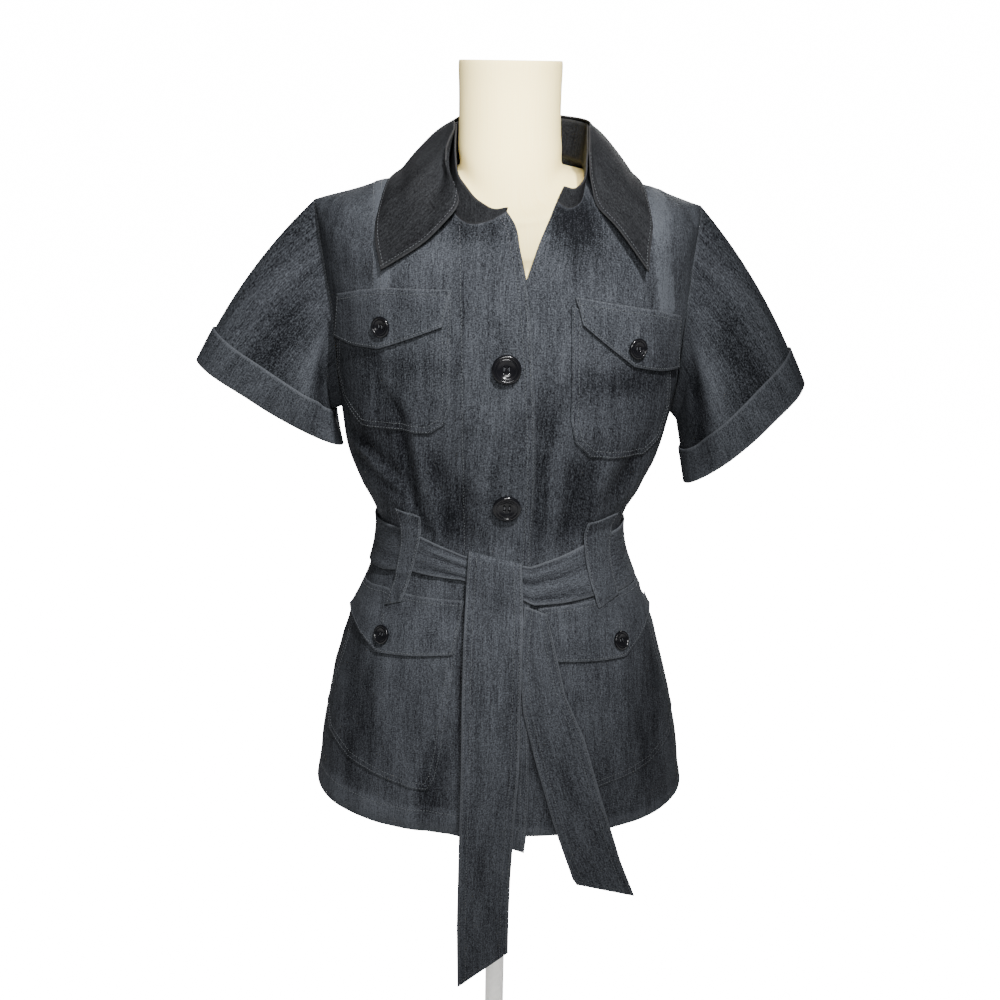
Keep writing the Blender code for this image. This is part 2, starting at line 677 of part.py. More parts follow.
def button(name, x, z, radius, height, carriers, gloss):
    """A round button with a raised rim, on the cloth at a spot given in millimetres."""
    spots = np.array([(x, z), (x - 8, z), (x + 8, z), (x, z - 8), (x, z + 8)], float) * MM
    found = np.array([drop(*spot, carriers) for spot in spots])
    facing = np.cross(found[2] - found[1], found[4] - found[3])
    facing /= np.linalg.norm(facing)
    right = np.cross((0, 0, 1), -facing)
    right /= np.linalg.norm(right)
    up = np.cross(facing, right)
    turns = np.arange(BUTTON_SIDES) * 2 * math.pi / BUTTON_SIDES
    circle = np.cos(turns)[:, None] * right + np.sin(turns)[:, None] * up
    lift = 0.0
    for size in (0.35, 0.65, 0.9):
        for direction in circle:
            over = height_over(found[0] + direction * radius * size, facing, carriers)
            if over is not None:
                lift = max(lift, -over)
    base = found[0] + facing * (lift + BUTTON_GAP)
    rings = [base + circle * radius * share + facing * height * level for share, level in BUTTON_OUTLINE]
    stack(name, rings, gloss)


# The belt round the waist: where its lower and upper edges run at each angle from the centre front.
BELT_COLUMNS = ("angle", "low", "high")
BELT_LINE = (
    (-180, 716, 770), (-90, 715, 768), (-60, 722, 772), (-43, 731, 774), (-15, 730, 756), (0, 722, 752),
    (12, 706, 745), (25, 706, 752), (43, 708, 764), (60, 704, 766), (90, 700, 765), (180, 716, 770),
)
BELT_SIDES = 44
BELT_ROWS = 3
BELT_START = 1.5 * MM


def waist_belt(carriers, cloth):
    """The belt as a closed band that lies on the body."""
    belt = table(BELT_LINE, BELT_COLUMNS)
    degrees = -180 + 360 * np.arange(BELT_SIDES) / BELT_SIDES
    low = np.interp(degrees, belt["angle"], belt["low"])
    high = np.interp(degrees, belt["angle"], belt["high"])
    climb = np.linspace(0, 1, BELT_ROWS + 1)[:, None]
    heights = low[None] * (1 - climb) + high[None] * climb
    angles = np.broadcast_to(np.radians(degrees), heights.shape)
    inner = ring_point(angles, heights) + ring_normal(angles, heights) * BELT_START
    inner = settle(inner, carriers, LAY_GAP, closed=True)
    outer = inner + outward(inner) * BELT_CLOTH
    wall("belt_waist", outer, inner, cloth, closed=True)
    return tree_of(outer, closed=True)


# Hanging belt ends, top to bottom: left x, left z, right x, right z, y.
END_COLUMNS = ("left_x", "left_z", "right_x", "right_z", "y")
LONG_END = (
    (-32, 757, 20, 745, -106),
    (-34, 722, 22, 708, -110),
    (-36, 670, 22, 665, -121),
    (-37, 600, 21, 600, -134),
    (-37, 540, 21, 540, -143),
    (-38, 480, 17, 480, -149),
    (-39, 420, 14, 420, -152),
    (-40, 360, 13, 370, -153),
    (-39, 283, 13, 327, -152),
)
SHORT_END = (
    (24, 706, 46, 697, -110),
    (20, 655, 54, 668, -120),
    (25, 600, 66, 618, -130),
    (38, 548, 86, 575, -138),
    (58, 480, 106, 508, -145),
    (80, 417, 127, 441, -150),
    (84, 412, 143, 400, -151),
)


def hanging_end(name, rows, split, across, carriers, gap, cloth):
    """A strip of belt that hangs over the pieces behind it and then free."""
    size = table(rows, END_COLUMNS)
    left = np.stack((size["left_x"], size["y"], size["left_z"]), -1) * MM
    right = np.stack((size["right_x"], size["y"], size["right_z"]), -1) * MM
    places = np.linspace(0, 1, split + 1)
    left, right = along(left, places), along(right, places)
    share = np.linspace(0, 1, across + 1)[None, :, None]
    strip = (left[:, None] * (1 - share) + right[:, None] * share)[::-1]
    strip = settle(strip, carriers, gap)
    outer = strip + grid_normals(strip) * BELT_CLOTH
    wall(name, outer, strip, cloth)
    return tree_of(outer)


# The form under the jacket: how far it lies inside the cloth's outer face at each height.
FORM_INSET = ((492, 16), (540, 14), (620, 12), (665, 10.5), (705, 9), (740, 8), (770, 8), (805, 8),
              (850, 7.5), (905, 7.5), (960, 7.5), (1020, 9), (1060, 12), (1078, 14), (1095, 12), (1108, 8),
              (1120, 4.5), (1150, 2), (1175, 2), (1195, 2))
NECK_RING_COLUMNS = ("half_width", "shift", "front", "back", "side_z", "front_z", "back_z")
NECK_RINGS = (
    (52, 4, 79, 49, 1121, 1092, 1131),
    (50, 2, 64, 49.5, 1142, 1118, 1150),
    (49, 1.5, 54, 49, 1165, 1150, 1168),
    (49, 1.5, 50, 49, 1192, 1190, 1192),
    (49.5, 1.5, 50, 49.5, 1217, 1217, 1217),
    (47.5, 1.5, 48, 47.5, 1220, 1220, 1220),
)
FORM_SIDES = 32
FORM_GAP = 0.45 * MM
POLE_RADIUS = 11
POLE_GAP = 0.3
STAND_SIDES = 24
BASE_OUTLINE = ((134, 0), (140, 3), (140, 10), (132, 16), (60, 21))


def form(covers, fabric, metal):
    """The dress form under the cloth, its pole and its base."""
    turns = np.arange(FORM_SIDES) * 2 * math.pi / FORM_SIDES
    rings = []
    for height, inset in FORM_INSET:
        heights = np.full(turns.shape, float(height))
        rings.append(ring_point(turns, heights) - ring_normal(turns, heights) * inset * MM)
    for row in NECK_RINGS:
        size = dict(zip(NECK_RING_COLUMNS, row))
        sine, cosine = np.sin(turns), np.cos(turns)
        depth = np.where(cosine > 0, size["front"], size["back"])
        centre_z = np.where(cosine > 0, size["front_z"], size["back_z"])
        rings.append(np.stack((size["shift"] + size["half_width"] * sine, -depth * cosine,
                               size["side_z"] + (centre_z - size["side_z"]) * cosine ** 2), -1) * MM)
    rings[0][:, 2] = rings[0][0, 2]
    rings = settle(np.array(rings), covers, FORM_GAP, closed=True, facing=-1)
    stack("form_torso", rings, fabric)
    bottom = rings[0][0, 2] / MM
    sides = np.arange(STAND_SIDES) * 2 * math.pi / STAND_SIDES
    circle = np.stack((np.cos(sides), np.sin(sides), np.zeros(STAND_SIDES)), -1)
    base_top = BASE_OUTLINE[-1][1]
    lift = np.array((0, 0, 1.0))
    stack("form_base", [(circle * radius + lift * level) * MM for radius, level in BASE_OUTLINE], metal)
    ends = (base_top + POLE_GAP, bottom - POLE_GAP)
    stack("form_pole", [(circle * POLE_RADIUS + lift * level) * MM for level in ends], metal)


# Pockets, flaps and loops as two lines of (x, z): the upper one and the one it reaches down to.
CHEST_POCKET_RIGHT = (((-158, 1004), (-154, 1004), (-138, 1006), (-70, 1009), (-56, 1010), (-50, 1010)),
                      ((-164, 928), (-157, 900), (-138, 880), (-70, 884), (-55, 895), (-50, 912)))
CHEST_POCKET_LEFT = (((61, 1006), (66, 1005), (84, 1002), (138, 992), (152, 988), (160, 986)),
                     ((63, 900), (68, 878), (84, 860), (138, 853), (154, 866), (162, 900)))
HIP_POCKET_RIGHT = (((-152, 676), (-149, 676), (-138, 676), (-72, 675), (-50, 674), (-42, 674)),
                    ((-186, 556), (-182, 535), (-160, 520), (-73, 507), (-64, 522), (-57, 556)))
HIP_POCKET_LEFT = (((42, 674), (50, 674), (72, 675), (138, 676), (149, 676), (152, 676)),
                   ((57, 556), (64, 522), (78, 507), (162, 520), (184, 535), (187, 556)))
POCKET_SPLITS = (1, 2, 6, 1, 1)

CHEST_FLAP_RIGHT = (((-159, 1006), (-137, 1013), (-112, 1018), (-49, 1020)),
                    ((-162, 964), (-142, 961), (-116, 962), (-57, 987)))
CHEST_FLAP_LEFT = (((64, 1015), (118, 1004), (144, 998), (168, 989)),
                   ((71, 990), (120, 949), (146, 941), (168, 937)))
HIP_FLAP_RIGHT = (((-143, 697), (-134, 700), (-120, 705), (-36, 709)),
                  ((-157, 665), (-142, 653), (-125, 643), (-46, 656)))
HIP_FLAP_LEFT = (((37, 702), (118, 703), (133, 701), (143, 698)),
                 ((56, 650), (127, 642), (142, 653), (157, 667)))
FLAP_SPLITS = {"right": (2, 2, 5), "left": (5, 2, 2)}

LOOP_RIGHT = (((-105, 797), (-81, 791)), ((-116, 690), (-99, 698)))
LOOP_LEFT = (((85, 787), (116, 790)), ((98, 694), (118, 702)))
LOOP_ROWS = 8
LOOP_SPLITS = (3,)

# How far the flaps and loops start out from the body, before they are laid on what is under them.
FLAP_OUT = 2 * MM
LOOP_OUT = 4 * MM
POCKET_ROWS = 8
FLAP_ROWS = 3

# Radius and thickness of a button.
SMALL_BUTTON = (9.8 * MM, 3.6 * MM)
LARGE_BUTTON = (13.75 * MM, 4.6 * MM)


def build():
    """Removes the startup objects and builds every piece."""
    for item in list(bpy.data.objects):
        bpy.data.objects.remove(item)
    denim = look("denim", (0.040, 0.046, 0.058), 0.85)
    collar_denim = look("collar denim", (0.058, 0.060, 0.064), 0.85)
    gloss = look("black plastic", (0.01, 0.01, 0.012), 0.15)
    linen = look("linen", (0.85, 0.80, 0.68), 0.9)
    metal = look("painted metal", (0.85, 0.84, 0.80), 0.4)

    over = panel("front_right", front_grid(-1, OVER_EDGE, OVER_NECKLINE), FRONT_FOLDS, -SEAM_GAP / 2,
                 lap_lift, denim)
    under = panel("front_left", front_grid(1, UNDER_EDGE, UNDER_NECKLINE), FRONT_FOLDS, -SEAM_GAP / 2,
                  no_lift, denim)
    back = panel("back", back_grid(), BACK_FOLDS, SEAM_GAP / 2, no_lift, denim)
    over_tree, under_tree, back_tree = (tree_of(points[0]) for points in (over, under, back))
    body = [over_tree, under_tree, back_tree]

    first = len(LOWER_ROWS) - 1
    right_edge = armhole([points[first:, 0] for points in over], [points[first:, -1] for points in back])
    left_edge = armhole([points[first:, 0] for points in under], [points[first:, 0] for points in back])
    sleeve("sleeve_right", right_edge, denim)
    sleeve("sleeve_left", left_edge, denim)
    stand_tree = collar(neck_seam(over, back, under), body, collar_denim)

    fronts = [over_tree, under_tree]
    pockets = (
        ("chest", "right", CHEST_POCKET_RIGHT, CHEST_FLAP_RIGHT, (-115, 983)),
        ("chest", "left", CHEST_POCKET_LEFT, CHEST_FLAP_LEFT, (124, 966)),
        ("hip", "right", HIP_POCKET_RIGHT, HIP_FLAP_RIGHT, (-120, 663)),
        ("hip", "left", HIP_POCKET_LEFT, HIP_FLAP_LEFT, (123, 660)),
    )
    flaps = []
    for place, hand, pocket, flap, spot in pockets:
        splits = POCKET_SPLITS if hand == "right" else POCKET_SPLITS[::-1]
        pocket_tree = patch(f"{place}_pocket_{hand}", *pocket, POCKET_ROWS, splits, fronts, LAY_GAP,
                            POCKET_CLOTH, denim)
        flap_tree = patch(f"{place}_flap_{hand}", *flap, FLAP_ROWS, FLAP_SPLITS[hand], fronts + [pocket_tree],
                          FLAP_OUT, POCKET_CLOTH, denim)
        button(f"{place}_button_{hand}", *spot, *SMALL_BUTTON, [flap_tree], gloss)
        flaps.append(flap_tree)
    button("front_button_high", 2, 951, *LARGE_BUTTON, [over_tree], gloss)
    button("front_button_low", 4.5, 811, *LARGE_BUTTON, [over_tree], gloss)

    belt_tree = waist_belt(body, denim)
    for name, loop in (("belt_loop_right", LOOP_RIGHT), ("belt_loop_left", LOOP_LEFT)):
        patch(name, *loop, LOOP_ROWS, LOOP_SPLITS, fronts + flaps + [belt_tree], LOOP_OUT, POCKET_CLOTH,
              denim, strip=True)
    short_tree = hanging_end("belt_end_short", SHORT_END, 16, 4, fronts + flaps + [belt_tree], LAY_GAP, denim)
    hanging_end("belt_end_long", LONG_END, 20, 4, fronts + flaps + [belt_tree, short_tree], LAY_GAP, denim)
    inner_sides = [tree_of(points[1]) for points in (over, under, back)]
    form(inner_sides + [stand_tree], linen, metal)


build()
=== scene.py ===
"""The looks of the safari jacket on its dress form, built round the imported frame.

Metres, +Z up, the jacket faces -Y, and wearer's right is -X. Tables hold millimetres, and MM turns
them into metres. The body is one smooth surface of stacked rings. Every cloth piece is a fine wall
made from that surface's points, and its stitches lie on the wall's outer face.
"""

import math

import bmesh
import bpy
import numpy as np
from mathutils import Matrix, Vector
from mathutils.bvhtree import BVHTree


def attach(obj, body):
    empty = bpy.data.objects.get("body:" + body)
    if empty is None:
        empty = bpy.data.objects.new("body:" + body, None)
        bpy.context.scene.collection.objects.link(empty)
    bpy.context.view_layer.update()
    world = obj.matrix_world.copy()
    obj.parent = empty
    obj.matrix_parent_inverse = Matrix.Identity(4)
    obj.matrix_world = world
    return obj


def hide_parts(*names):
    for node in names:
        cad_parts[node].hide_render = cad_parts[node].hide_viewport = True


MM = 0.001
FINE_ROWS = 9
FINE_COLUMNS = 6

CLOTH = 1.4 * MM
POCKET_CLOTH = 1.2 * MM
COLLAR_CLOTH = 1.6 * MM
BELT_CLOTH = 1.8 * MM
SEAM_GAP = 0.35 * MM
LAY_GAP = 0.5 * MM

HEM = 463
ARMPIT = 880
SHOULDER_TIP = 1088
NECK = 1214

# Rings of the jacket, bottom to top. "height" counts up the side seam to the shoulder tip and then
# along the shoulder to the neck; side, front and back are where the ring crosses those lines.
RING_COLUMNS = ("height", "half_width", "shift", "front", "back", "side_z", "front_z", "back_z", "square")
JACKET_RINGS = (
    (430, 210, 0, 147, 143, 430, 430, 430, 2.30),
    (HEM, 203, 1, 143, 139, 463, 463, 463, 2.30),
    (520, 195, 1, 138, 134, 520, 520, 520, 2.25),
    (600, 178, 0, 130, 122, 600, 600, 600, 2.20),
    (665, 158, 0, 119, 108, 665, 665, 665, 2.15),
    (705, 140, -1, 108, 97, 705, 705, 705, 2.15),
    (740, 130, -2, 102, 90, 740, 740, 740, 2.15),
    (770, 129, -2, 102, 90, 770, 770, 770, 2.15),
    (805, 145, -1, 109, 96, 805, 805, 805, 2.20),
    (842, 160, 0, 117, 103, 842, 842, 842, 2.20),
    (ARMPIT, 167, 2, 123, 108, 880, 880, 880, 2.20),
    (945, 175, 4, 128, 111, 945, 932, 942, 2.15),
    (1010, 182, 3, 125, 109, 1010, 980, 993, 2.05),
    (SHOULDER_TIP, 189, 1, 115, 98, 1088, 1036, 1056, 1.90),
    (1150, 128, 5, 107, 82, 1107, 1064, 1102, 1.90),
    (NECK, 65, 9, 97, 60, 1125, 1092, 1136, 2.00),
)
SHOULDER_ROUNDING = 26
SHOULDER_ROUNDING_REACH = 60
SHOULDER_ROUNDING_FADE = 0.25
ROUNDING_WEIGHTS = ((-1, 1), (-0.5, 2), (0, 3), (0.5, 2), (1, 1))

# Front edges as (x, z), from the hem to the top corner.
OVER_EDGE = ((28, 446), (30, 470), (30, 600), (29, 760), (31, 814), (27, 940), (24, 978), (18, 1030),
             (12, 1056), (7, 1078), (0, 1089))
UNDER_EDGE = ((-22, 463), (-22, 600), (-22, 760), (-22, 900), (-12, 950), (7, 1000), (20, 1032),
              (32, 1066), (40, 1084), (46, 1098))

# Necklines of the fronts as (x, z), from the shoulder's inner end to the front corner.
OVER_NECKLINE = ((-56, 1125), (-54, 1104), (-47, 1085), (-33, 1077), (-14, 1081), (0, 1089))
UNDER_NECKLINE = ((74, 1125), (73, 1110), (67, 1096), (57, 1092), (46, 1098))

# Folds as lines on the jacket: a valley has a positive depth and a ridge a negative one.
FOLD_COLUMNS = ("x0", "z0", "x1", "z1", "width", "depth")
FRONT_FOLDS = (
    (-118, 905, -86, 800, 15, 4.0),
    (-62, 860, -48, 775, 12, 3.5),
    (-36, 835, -34, 765, 10, 2.5),
    (-140, 870, -96, 830, 12, 3.0),
    (42, 905, 38, 780, 12, 3.0),
    (80, 860, 66, 770, 13, 3.0),
    (130, 850, 98, 800, 13, 3.0),
    (-150, 640, -160, 500, 18, 3.0),
    (-58, 560, -72, 470, 14, 3.0),
    (75, 560, 82, 470, 15, 3.0),
    (150, 640, 160, 500, 18, 3.0),
    (-119, 930, -99, 896, 7, 1.8),
    (-100, 905, -94, 850, 7, 2.4),
    (-95, 860, -90, 800, 6, 2.2),
    (-90, 808, -70, 768, 6, 1.8),
    (-108, 880, -102, 815, 6, -1.2),
    (-82, 880, -80, 812, 7, -1.4),
    (-72, 862, -60, 815, 6, 1.8),
    (-62, 825, -54, 766, 5, 1.6),
    (-66, 700, -60, 800, 5, -0.8),
    (-45, 830, -35, 760, 5, 1.6),
    (-152, 872, -98, 824, 6, 2.2),
    (-150, 846, -106, 813, 6, 2.2),
    (-150, 859, -104, 819, 4, -1.4),
    (-14, 996, 2, 964, 6, 1.4),
    (12, 905, 8, 850, 8, 1.2),
    (35, 915, 38, 772, 6, 2.0),
    (50, 880, 50, 790, 8, -1.2),
    (66, 862, 64, 776, 6, 2.0),
    (92, 880, 80, 790, 8, 1.6),
    (105, 860, 93, 790, 7, -1.2),
    (140, 880, 116, 818, 7, 2.0),
    (60, 1060, 96, 960, 10, 1.4),
    (75, 1050, 74, 1010, 8, -1.2),
    (-40, 690, -38, 560, 7, 2.4),
    (-52, 640, -50, 520, 8, -1.0),
    (-76, 540, -74, 466, 5, 1.8),
    (-90, 520, -92, 466, 7, -1.0),
    (-130, 640, -140, 500, 10, 1.2),
    (52, 650, 46, 520, 9, 1.6),
    (112, 600, 122, 470, 12, 1.4),
)
BACK_FOLDS = (
    (0, 860, 0, 775, 16, 4.0),
    (-60, 850, -48, 775, 14, 3.5),
    (62, 850, 50, 775, 14, 3.5),
    (-118, 870, -90, 790, 15, 3.0),
    (118, 870, 90, 790, 15, 3.0),
    (0, 660, 0, 480, 24, 4.0),
    (-90, 640, -110, 480, 20, 4.0),
    (90, 640, 110, 480, 20, 4.0),
)


def table(rows, columns):
    """Turns rows of a table into one array for each named column."""
    return dict(zip(columns, np.array(rows, float).T))


def eased(share):
    """A share from 0 to 1 that starts and ends softly."""
    share = np.clip(share, 0, 1)
    return share * share * (3 - 2 * share)


def curve_through(knots, values, at):
    """A smooth curve through the values at the knots, read at the given places."""
    slopes = np.gradient(values, knots)
    index = np.clip(np.searchsorted(knots, at) - 1, 0, len(knots) - 2)
    step = knots[index + 1] - knots[index]
    part = (at - knots[index]) / step
    rise = values[index + 1] - values[index]
    start_slope = slopes[index] * step
    end_slope = slopes[index + 1] * step
    square, cube = part ** 2, part ** 3
    return (values[index] + part * start_slope + square * (3 * rise - 2 * start_slope - end_slope)
            + cube * (start_slope + end_slope - 2 * rise))


def curves_through(knots, rows, at):
    """Smooth curves through rows of points or numbers, one for each place along a row."""
    curves = [curve_through(knots, column, at) for column in rows.reshape(len(rows), -1).T]
    return np.stack(curves, -1).reshape(-1, *rows.shape[1:])


def smooth_rows(rows, between):
    """Rows that run smoothly through the given ones, with a number of steps between two of them."""
    marks = np.arange(len(rows), dtype=float)
    return curves_through(marks, rows, np.linspace(0, marks[-1], (len(rows) - 1) * between + 1))


def unit(vectors):
    """The vectors with a length of 1."""
    return vectors / np.maximum(np.linalg.norm(vectors, axis=-1, keepdims=True), 1e-9)


def ring_sizes(height):
    """The ring's columns at any height; the curve has its one corner at the shoulder tip."""
    columns = table(JACKET_RINGS, RING_COLUMNS)
    knots = columns["height"]
    corner = int(np.searchsorted(knots, SHOULDER_TIP))
    sizes = {}
    for name, values in columns.items():
        below = curve_through(knots[:corner + 1], values[:corner + 1], np.minimum(height, SHOULDER_TIP))
        above = curve_through(knots[corner:], values[corner:], np.maximum(height, SHOULDER_TIP))
        sizes[name] = np.where(height <= SHOULDER_TIP, below, above)
    return sizes


def cornered_point(angle, height):
    """A point of the body as the rings give it: angle 0 is the centre front, 90 degrees the left side."""
    size = ring_sizes(height)
    sine, cosine = np.sin(angle), np.cos(angle)
    power = 2 / size["square"]
    depth = np.where(cosine > 0, size["front"], size["back"])
    centre_z = np.where(cosine > 0, size["front_z"], size["back_z"])
    x = size["shift"] + size["half_width"] * np.sign(sine) * np.abs(sine) ** power
    y = -np.sign(cosine) * depth * np.abs(cosine) ** power
    z = size["side_z"] + (centre_z - size["side_z"]) * cosine ** 2
    return np.stack((x, y, z), -1) * MM


def ring_point(angle, height):
    """A point of the body, with the shoulder's corner rounded off away from the armhole seam."""
    near = eased(1 - np.abs(height - SHOULDER_TIP) / SHOULDER_ROUNDING_REACH)
    off_seam = np.clip(np.abs(np.cos(angle)) / SHOULDER_ROUNDING_FADE, 0, 1)
    reach = SHOULDER_ROUNDING * near * off_seam
    whole = sum(weight for _, weight in ROUNDING_WEIGHTS)
    parts = [cornered_point(angle, height + step * reach) * weight for step, weight in ROUNDING_WEIGHTS]
    return sum(part / whole for part in parts)


def ring_normal(angle, height):
    """The outward direction of the body at a point."""
    turn, climb = math.radians(1.5), 1.0
    across = ring_point(angle + turn, height) - ring_point(angle - turn, height)
    up = ring_point(angle, height + climb) - ring_point(angle, height - climb)
    return unit(np.cross(across, up))


def fold_height(points, folds):
    """How far the folds move each point out; lines of folds fade at both ends."""
    x, z = points[..., 0] / MM, points[..., 2] / MM
    height = np.zeros(x.shape)
    for row in folds:
        fold = dict(zip(FOLD_COLUMNS, row))
        dx, dz = fold["x1"] - fold["x0"], fold["z1"] - fold["z0"]
        length = math.hypot(dx, dz)
        run = ((x - fold["x0"]) * dx + (z - fold["z0"]) * dz) / length
        aside = ((x - fold["x0"]) * dz - (z - fold["z0"]) * dx) / length
        beyond = np.maximum(0, np.abs(run - length / 2) - length / 4) / (length / 3)
        height -= fold["depth"] * np.exp(-(aside / fold["width"]) ** 2 - beyond ** 2)
    return height * MM


# Soft unevenness of the whole cloth: waves of a length, a direction and a height.
RIPPLE_COLUMNS = ("length", "direction", "phase", "height")
RIPPLES = (
    (47, 12, 0.3, 0.22),
    (31, 64, 1.9, 0.16),
    (63, 118, 4.1, 0.25),
    (23, 151, 2.7, 0.10),
    (38, 87, 5.2, 0.15),
)
RIPPLE_BEND = 9
RIPPLE_BEND_LENGTH = 57


def ripple(points):
    """The cloth's small soft waves, in metres."""
    x, z = points[..., 0] / MM, points[..., 2] / MM
    height = np.zeros(x.shape)
    for row in RIPPLES:
        wave = dict(zip(RIPPLE_COLUMNS, row))
        turn = math.radians(wave["direction"])
        reach = x * math.cos(turn) + z * math.sin(turn)
        across = x * math.sin(turn) - z * math.cos(turn)
        bend = RIPPLE_BEND * np.sin(across / RIPPLE_BEND_LENGTH + wave["phase"])
        height += wave["height"] * np.sin(2 * math.pi * (reach + bend) / wave["length"] + wave["phase"])
    return height * MM


# Sewn lines of the fronts as a middle line of (x, z), half the width and the height over the cloth.
RAISED_COLUMNS = ("middle", "half_width", "height")
RAISED = (
    (((-121, 1108), (-115, 1069), (-116, 1016)), 8.5, 0.9),
    (((143, 1100), (144, 1076), (147, 1054), (154, 998)), 8.5, 0.9),
    (((-42, 1079), (-40, 1000), (-38, 900), (-37, 816), (-37, 700), (-38, 560), (-38, 455)), 0.9, -0.7),
)
BAND_EDGE = 1.2
# The turned hem: how far up it reaches, how far it stands out, and how wide its upper edge's slope is.
HEM_FOLD = 26
HEM_RISE = 0.5
HEM_EDGE = 2.0


def off_line(x, z, line):
    """How far each place lies from a line of (x, z), in millimetres."""
    nearest = np.full(x.shape, 1e9)
    for (x0, z0), (x1, z1) in zip(line, line[1:]):
        length = math.hypot(x1 - x0, z1 - z0)
        run = ((x - x0) * (x1 - x0) + (z - z0) * (z1 - z0)) / length
        run = np.clip(run, 0, length)
        there_x = x0 + (x1 - x0) * run / length
        there_z = z0 + (z1 - z0) * run / length
        nearest = np.minimum(nearest, np.hypot(x - there_x, z - there_z))
    return nearest


def sewn_height(points):
    """How far the sewn bands, the placket's seam and the turned hem stand over the cloth."""
    x, z = points[..., 0] / MM, points[..., 2] / MM
    front = points[..., 1] < 0
    height = np.zeros(x.shape)
    for row in RAISED:
        raised = dict(zip(RAISED_COLUMNS, row))
        inside = eased((raised["half_width"] - off_line(x, z, raised["middle"])) / BAND_EDGE + 0.5)
        height += raised["height"] * inside * front
    corner_x, corner_z = OVER_EDGE[0]
    above_hem = z - HEM + (HEM - corner_z) * np.clip(x / corner_x, 0, 1) * front
    turned = np.clip((HEM_FOLD - above_hem) / HEM_EDGE + 0.5, 0, 1)
    return (height + HEM_RISE * turned) * MM


# Painted shade on the front where the collar, the flaps and the arms shade the cloth: the middle
# of each place, how far it reaches across and up, and how dark it is.
PAINTED_SHADE_COLUMNS = ("x", "z", "across", "up", "dark")
PAINTED_SHADE_SPOTS = (
    (52, 1088, 24, 24, 1.7),
    (72, 1072, 20, 30, 1.4),
    (-30, 1076, 28, 14, 1.3),
    (-100, 948, 55, 12, 0.9),
    (112, 934, 48, 14, 1.2),
    (142, 892, 38, 60, 0.8),
    (-150, 905, 28, 50, 0.8),
)
# Heights of folds, bands and seams that count as 1 in the per-point tone (ridges and bands lighter from
# abrasion, fold valleys darker with painted shade), and the darkest painted shade that a valley gets.
DARKEST_VALLEY_SHADE = -1.2
FOLD_WEAR_AND_SHADE = 3 * MM
BAND_WEAR = 0.7 * MM
SEAM_DEPTH_WEAR = 0.3 * MM
# Folds fade out beside the side seams, where the angle's cosine falls below this.
SEAM_FADE = 0.3


def wear_and_shade_of(points, folds, sewn):
    """How light the cloth is: ridges and sewn bands are lighter from abrasion, while fold valleys and the
    places under the collar, the flaps and the arms get painted shade.
    """
    x, z = points[..., 0] / MM, points[..., 2] / MM
    # Fold ridges come out lighter from abrasion, fold valleys darker with painted shade, down to the darkest
    # value.
    wear_and_shade = np.maximum(fold_height(points, folds) / FOLD_WEAR_AND_SHADE, DARKEST_VALLEY_SHADE) + sewn
    # Painted shade where the collar, the flaps and the arms shade the front.
    for row in PAINTED_SHADE_SPOTS:
        place = dict(zip(PAINTED_SHADE_COLUMNS, row))
        near = np.exp(-((x - place["x"]) / place["across"]) ** 2 - ((z - place["z"]) / place["up"]) ** 2)
        wear_and_shade = wear_and_shade - place["dark"] * near * (points[..., 1] < 0)
    return wear_and_shade


def body_points(angle, height, folds):
    """Points of the cloth's outer face with the folds, and their outward directions."""
    points = ring_point(angle, height)
    normals = ring_normal(angle, height)
    seam_fade = np.clip(np.abs(np.cos(angle)) / SEAM_FADE, 0, 1) ** 2
    lift = fold_height(points, folds) * seam_fade + ripple(points)
    return points + normals * lift[..., None], normals


SEARCH_STEPS = 40
FIRST_GUESS = 0.98
LONGEST_TURN = 0.1
LONGEST_CLIMB = 12


def on_body(x, z):
    """The angle and height of the spot on the body's front that has this x and z (millimetres)."""
    x, z = np.asarray(x, float), np.asarray(z, float)
    height = np.clip(z, JACKET_RINGS[0][0] + 1, NECK - 1)
    size = ring_sizes(height)
    reach = np.clip((x - size["shift"]) / size["half_width"], -FIRST_GUESS, FIRST_GUESS)
    angle = np.arcsin(reach)
    turn, climb = math.radians(0.5), 0.5
    limit = math.radians(90)
    for _ in range(SEARCH_STEPS):
        here = ring_point(angle, height)[..., (0, 2)] / MM
        by_turn = (ring_point(angle + turn, height)[..., (0, 2)] / MM - here) / turn
        by_climb = (ring_point(angle, height + climb)[..., (0, 2)] / MM - here) / climb
        miss_x, miss_z = x - here[..., 0], z - here[..., 1]
        size = by_turn[..., 0] * by_climb[..., 1] - by_turn[..., 1] * by_climb[..., 0]
        size = np.where(np.abs(size) < 1e-3, 1e-3, size)
        step_turn = (miss_x * by_climb[..., 1] - miss_z * by_climb[..., 0]) / size
        step_climb = (miss_z * by_turn[..., 0] - miss_x * by_turn[..., 1]) / size
        angle = np.clip(angle + np.clip(step_turn, -LONGEST_TURN, LONGEST_TURN), -limit, limit)
        height = height + np.clip(step_climb, -LONGEST_CLIMB, LONGEST_CLIMB)
        height = np.clip(height, JACKET_RINGS[0][0], NECK)
    return np.stack((angle, height), -1)


def lengths_along(points):
    """How far along a line of points each one lies, as a share of the whole length."""
    steps = np.linalg.norm(np.diff(points, axis=0), axis=1)
    reached = np.concatenate(([0], np.cumsum(steps)))
    return reached / reached[-1]


def along(points, fractions):
    """Reads a line of points at fractions of its length."""
    points = np.array(points, float)
    reached = lengths_along(points)
    return np.stack([np.interp(fractions, reached, column) for column in points.T], -1)


def smooth_along(points, fractions):
    """Reads a smooth curve through a line of points at fractions of its length."""
    points = np.array(points, float)
    return curves_through(lengths_along(points), points, fractions)


